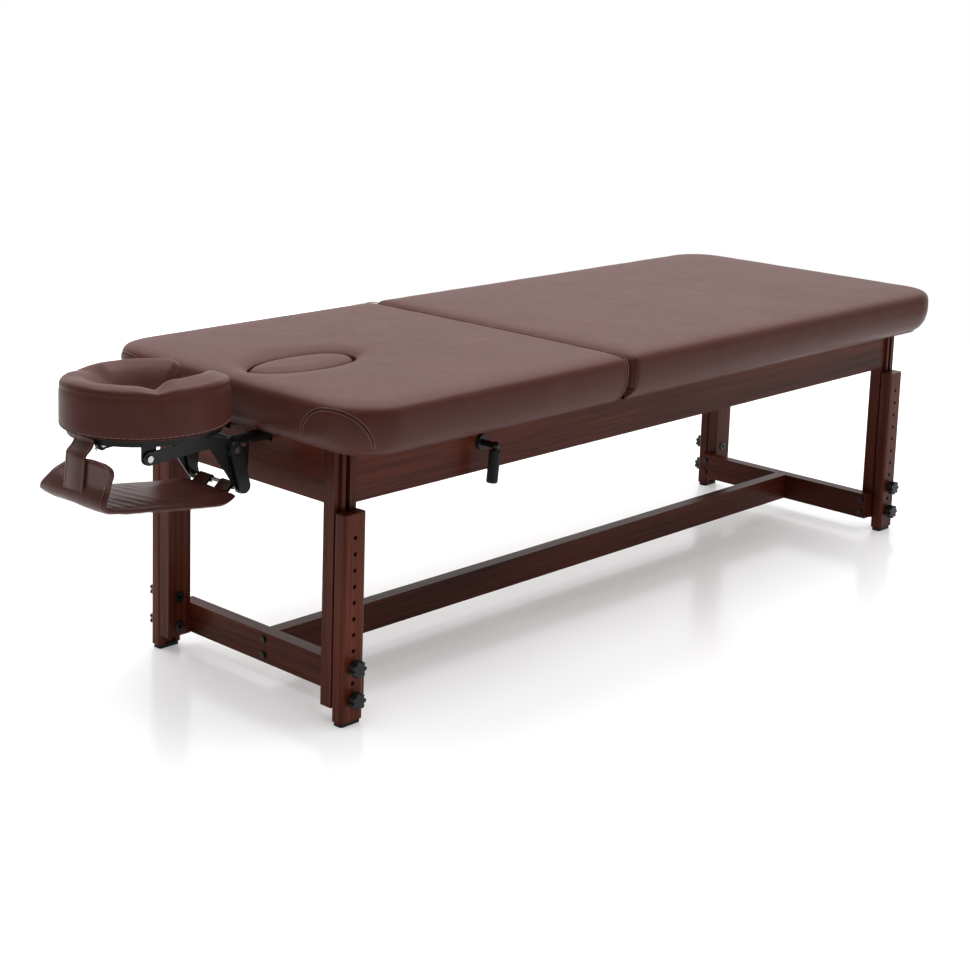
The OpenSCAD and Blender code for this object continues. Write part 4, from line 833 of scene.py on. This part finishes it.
# Shares of the half thickness that the leather keeps to and that the stitches lie at, and
# the stitches' distance from the edge
SLING_FILL_SHARE, SLING_ROW_SHARE, SLING_ROW_IN = 0.86, 0.72, 7
# Depths of the folds at the front and at the rear, of the waves and of the fine wrinkles
FRONT_FOLD, REAR_FOLD, WAVE, WRINKLE = 1.7, 1.3, 1.1, 0.5


def sling_frame(line, i):
    """Middle point and upward direction at step i of a line in x and z."""
    ahead, back = line[min(i + 1, len(line) - 1)], line[max(i - 1, 0)]
    d = Vector((ahead[0] - back[0], ahead[1] - back[1])).normalized()
    return Vector(line[i][:2]), Vector((d.y, -d.x))


def sling_folds(x, y, z):
    """How far the sling's leather stands off its middle surface, apart from its thickness."""
    shelf = 1 - ease(z, 425, 450)
    front = ease(-x, 170, 320) * shelf
    rear = (1 - ease(-x, 90, 190)) * shelf
    folds = FRONT_FOLD * front * math.sin((x + 0.28 * y) / 4.6 + 2.4 * noise.noise(Vector((x, y, 0)) * 0.012))
    folds += REAR_FOLD * rear * math.sin(y / 7 + 3 * noise.noise(Vector((x, y, 9)) * 0.02))
    folds += WAVE * noise.noise(Vector((x * 0.02 + z * 0.02, y * 0.03, 3)))
    return folds + WRINKLE * noise.noise(Vector((x * 0.06 + z * 0.05, y * 0.09, 8)))


def sling_cover():
    line = smooth_curve(SLING_LINE, SLING_STEPS)
    rings, edges, rows = [], {0: [], 1: []}, {0: [], 1: []}
    for i, (x, z, near, far, thick) in enumerate(line):
        up = sling_frame(line, i)[1]
        low, high = -near * SLING_W / 2, far * SLING_W / 2
        ring = []
        for k in range(2 * SLING_ACROSS):
            a = math.pi * k / SLING_ACROSS
            across = math.copysign(abs(math.cos(a)) ** 0.5, math.cos(a))
            rise = math.copysign(abs(math.sin(a)) ** 0.55, math.sin(a))
            y = low + (high - low) * (across + 1) / 2
            folds = sling_folds(x, y, z) * (1 - abs(across) ** 4) * min(thick, 0.7)
            off = rise * thick * SLING_T / 2 * SLING_FILL_SHARE + folds
            ring.append(pt(x + up.x * off, y, z + up.y * off))
        rings.append(list(reversed(ring)))
        for side, y in ((0, low), (1, high)):
            edges[side].append(pt(x, y, z))
            inner = y + (SLING_ROW_IN if side == 0 else -SLING_ROW_IN)
            off = -thick * SLING_T / 2 * SLING_ROW_SHARE
            rows[side].append(pt(x + up.x * off, inner, z + up.y * off))
    cover = ring_piece("arm_sling_cover", rings, SLING_LEATHER)
    finish_pad(cover, "arm_sling", "cradle_arm")
    rim = edges[0] + list(reversed(edges[1]))
    trim(tube("arm_sling_piping", rim, 1.5 * MM, SLING_LEATHER, closed=True), "cradle_arm")
    trim(stitches("arm_sling_stitches", [rows[0], rows[1]], THREAD), "cradle_arm")


# A band's section has four points on each face; the outer two are pinched
BAND_SIDES = 8
PINCH_W, PINCH_SHARE = 1.2, 0.55


def band_piece(name, line, low, high, thick, material, lining=None):
    """A strip of even thickness along a line in x and z, from y low to y high."""
    rings = []
    for i in range(len(line)):
        centre, up = sling_frame(line, i)
        ring = []
        aside = line[i][2] if len(line[i]) > 2 else 0
        across = (low, low + PINCH_W, high - PINCH_W, high)
        for y, side in [(y, 1) for y in across] + [(y, -1) for y in reversed(across)]:
            off = up * side * thick / 2 * (PINCH_SHARE if y in (low, high) else 1)
            ring.append(pt(centre.x + off.x, y + aside, centre.y + off.y))
        rings.append(ring)
    piece = ring_piece(name, rings, material)
    if lining:
        piece.data.materials.append(lining)
        for face in piece.data.polygons[:BAND_SIDES * (len(rings) - 1)]:
            if face.index % BAND_SIDES == 1:
                face.material_index = 1
    return piece


STRAP_W, STRAP_T, STRAP_GAP = 56, 3, 0.5
STRAP_ROW_IN, STRAP_ROW_LIFT = 4, 0.1
RING_AT, RING_STEPS = (-360.5, -46, 532), 24


def sling_strap():
    """The strap at the sling's front, from the platform down over the turned-up end."""
    line = []
    for i in range(8, len(SLING_LINE) - 1):
        centre, up = sling_frame(SLING_LINE, i)
        at = centre - up * (SLING_LINE[i][4] * SLING_T / 2 + STRAP_GAP + STRAP_T / 2)
        line.append((at.x, at.y, -6 - 9 * ease(at.y, 440, 520)))
    line.insert(0, (line[0][0] + 0.6, 448, -6))
    line += [(line[-1][0] + 1.5, 520, -15), (-369.5, 530, -16), (-364.4, 538, -16), (-364.2, 548, -16)]
    line = smooth_curve(line, 6)
    piece = band_piece("sling_strap_cover", line, -STRAP_W / 2, STRAP_W / 2, STRAP_T, SLING_LEATHER, LINING)
    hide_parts("sling_strap")
    rows = []
    for y in (-STRAP_W / 2 + STRAP_ROW_IN, STRAP_W / 2 - STRAP_ROW_IN):
        row = []
        for i in range(len(line)):
            centre, up = sling_frame(line, i)
            off = centre - up * (STRAP_T / 2 + STRAP_ROW_LIFT)
            row.append(pt(off.x, y + line[i][2], off.y))
        rows.append(row)
    thread = stitches("sling_strap_stitches", rows, THREAD)
    for soft in (piece, thread):
        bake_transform(soft)
    x, y, z = RING_AT
    ring = [pt(x + math.cos(a), y + 3 * math.cos(a), z + 3.4 * math.sin(a))
            for a in (2 * math.pi * k / RING_STEPS for k in range(RING_STEPS))]
    trim(tube("strap_ring", ring, 1.0 * MM, BRIGHT, closed=True), "cradle_platform")


# The arm's pivot bolt, in x and z, the radius of the loops' middle line round it, the
# loops' reach in y, and where they enter the sling's rear edge, in x and z
PIVOT = (-62, 412)
LOOP_R = 5.85
LOOP_FROM, LOOP_TO = 14, 48
LOOP_T, LOOP_STEPS = 2.6, 16
SLING_REAR = (-84, 401)


def sling_loops():
    """Two loops that hang the sling's rear edge on the arm's pivot bolt."""
    rear = Vector(SLING_REAR)
    line = [tuple(rear + Vector((-6, 2.2))), tuple(rear + Vector((4, 3.5)))]
    line += [(PIVOT[0] + LOOP_R * math.cos(a), PIVOT[1] + LOOP_R * math.sin(a))
             for a in (math.radians(150 - 300 * k / LOOP_STEPS) for k in range(LOOP_STEPS + 1))]
    line += [tuple(rear + Vector((4, -3.5))), tuple(rear + Vector((-6, -2.2)))]
    for side, name in ((-1, "right"), (1, "left")):
        low, high = (LOOP_FROM, LOOP_TO) if side > 0 else (-LOOP_TO, -LOOP_FROM)
        piece = band_piece(f"sling_loop_{name}", line, low, high, LOOP_T, SLING_LEATHER)
        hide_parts("sling_loops")
        trim(piece, "cradle_arm")


build_camera()
release_cable()
dress_nodes()
build_studio()
foot_pad_cover()
head_pad_cover()
face_plug_cover()
pad_seams()
cradle_cushion_cover()
sling_cover()
sling_strap()
sling_loops()
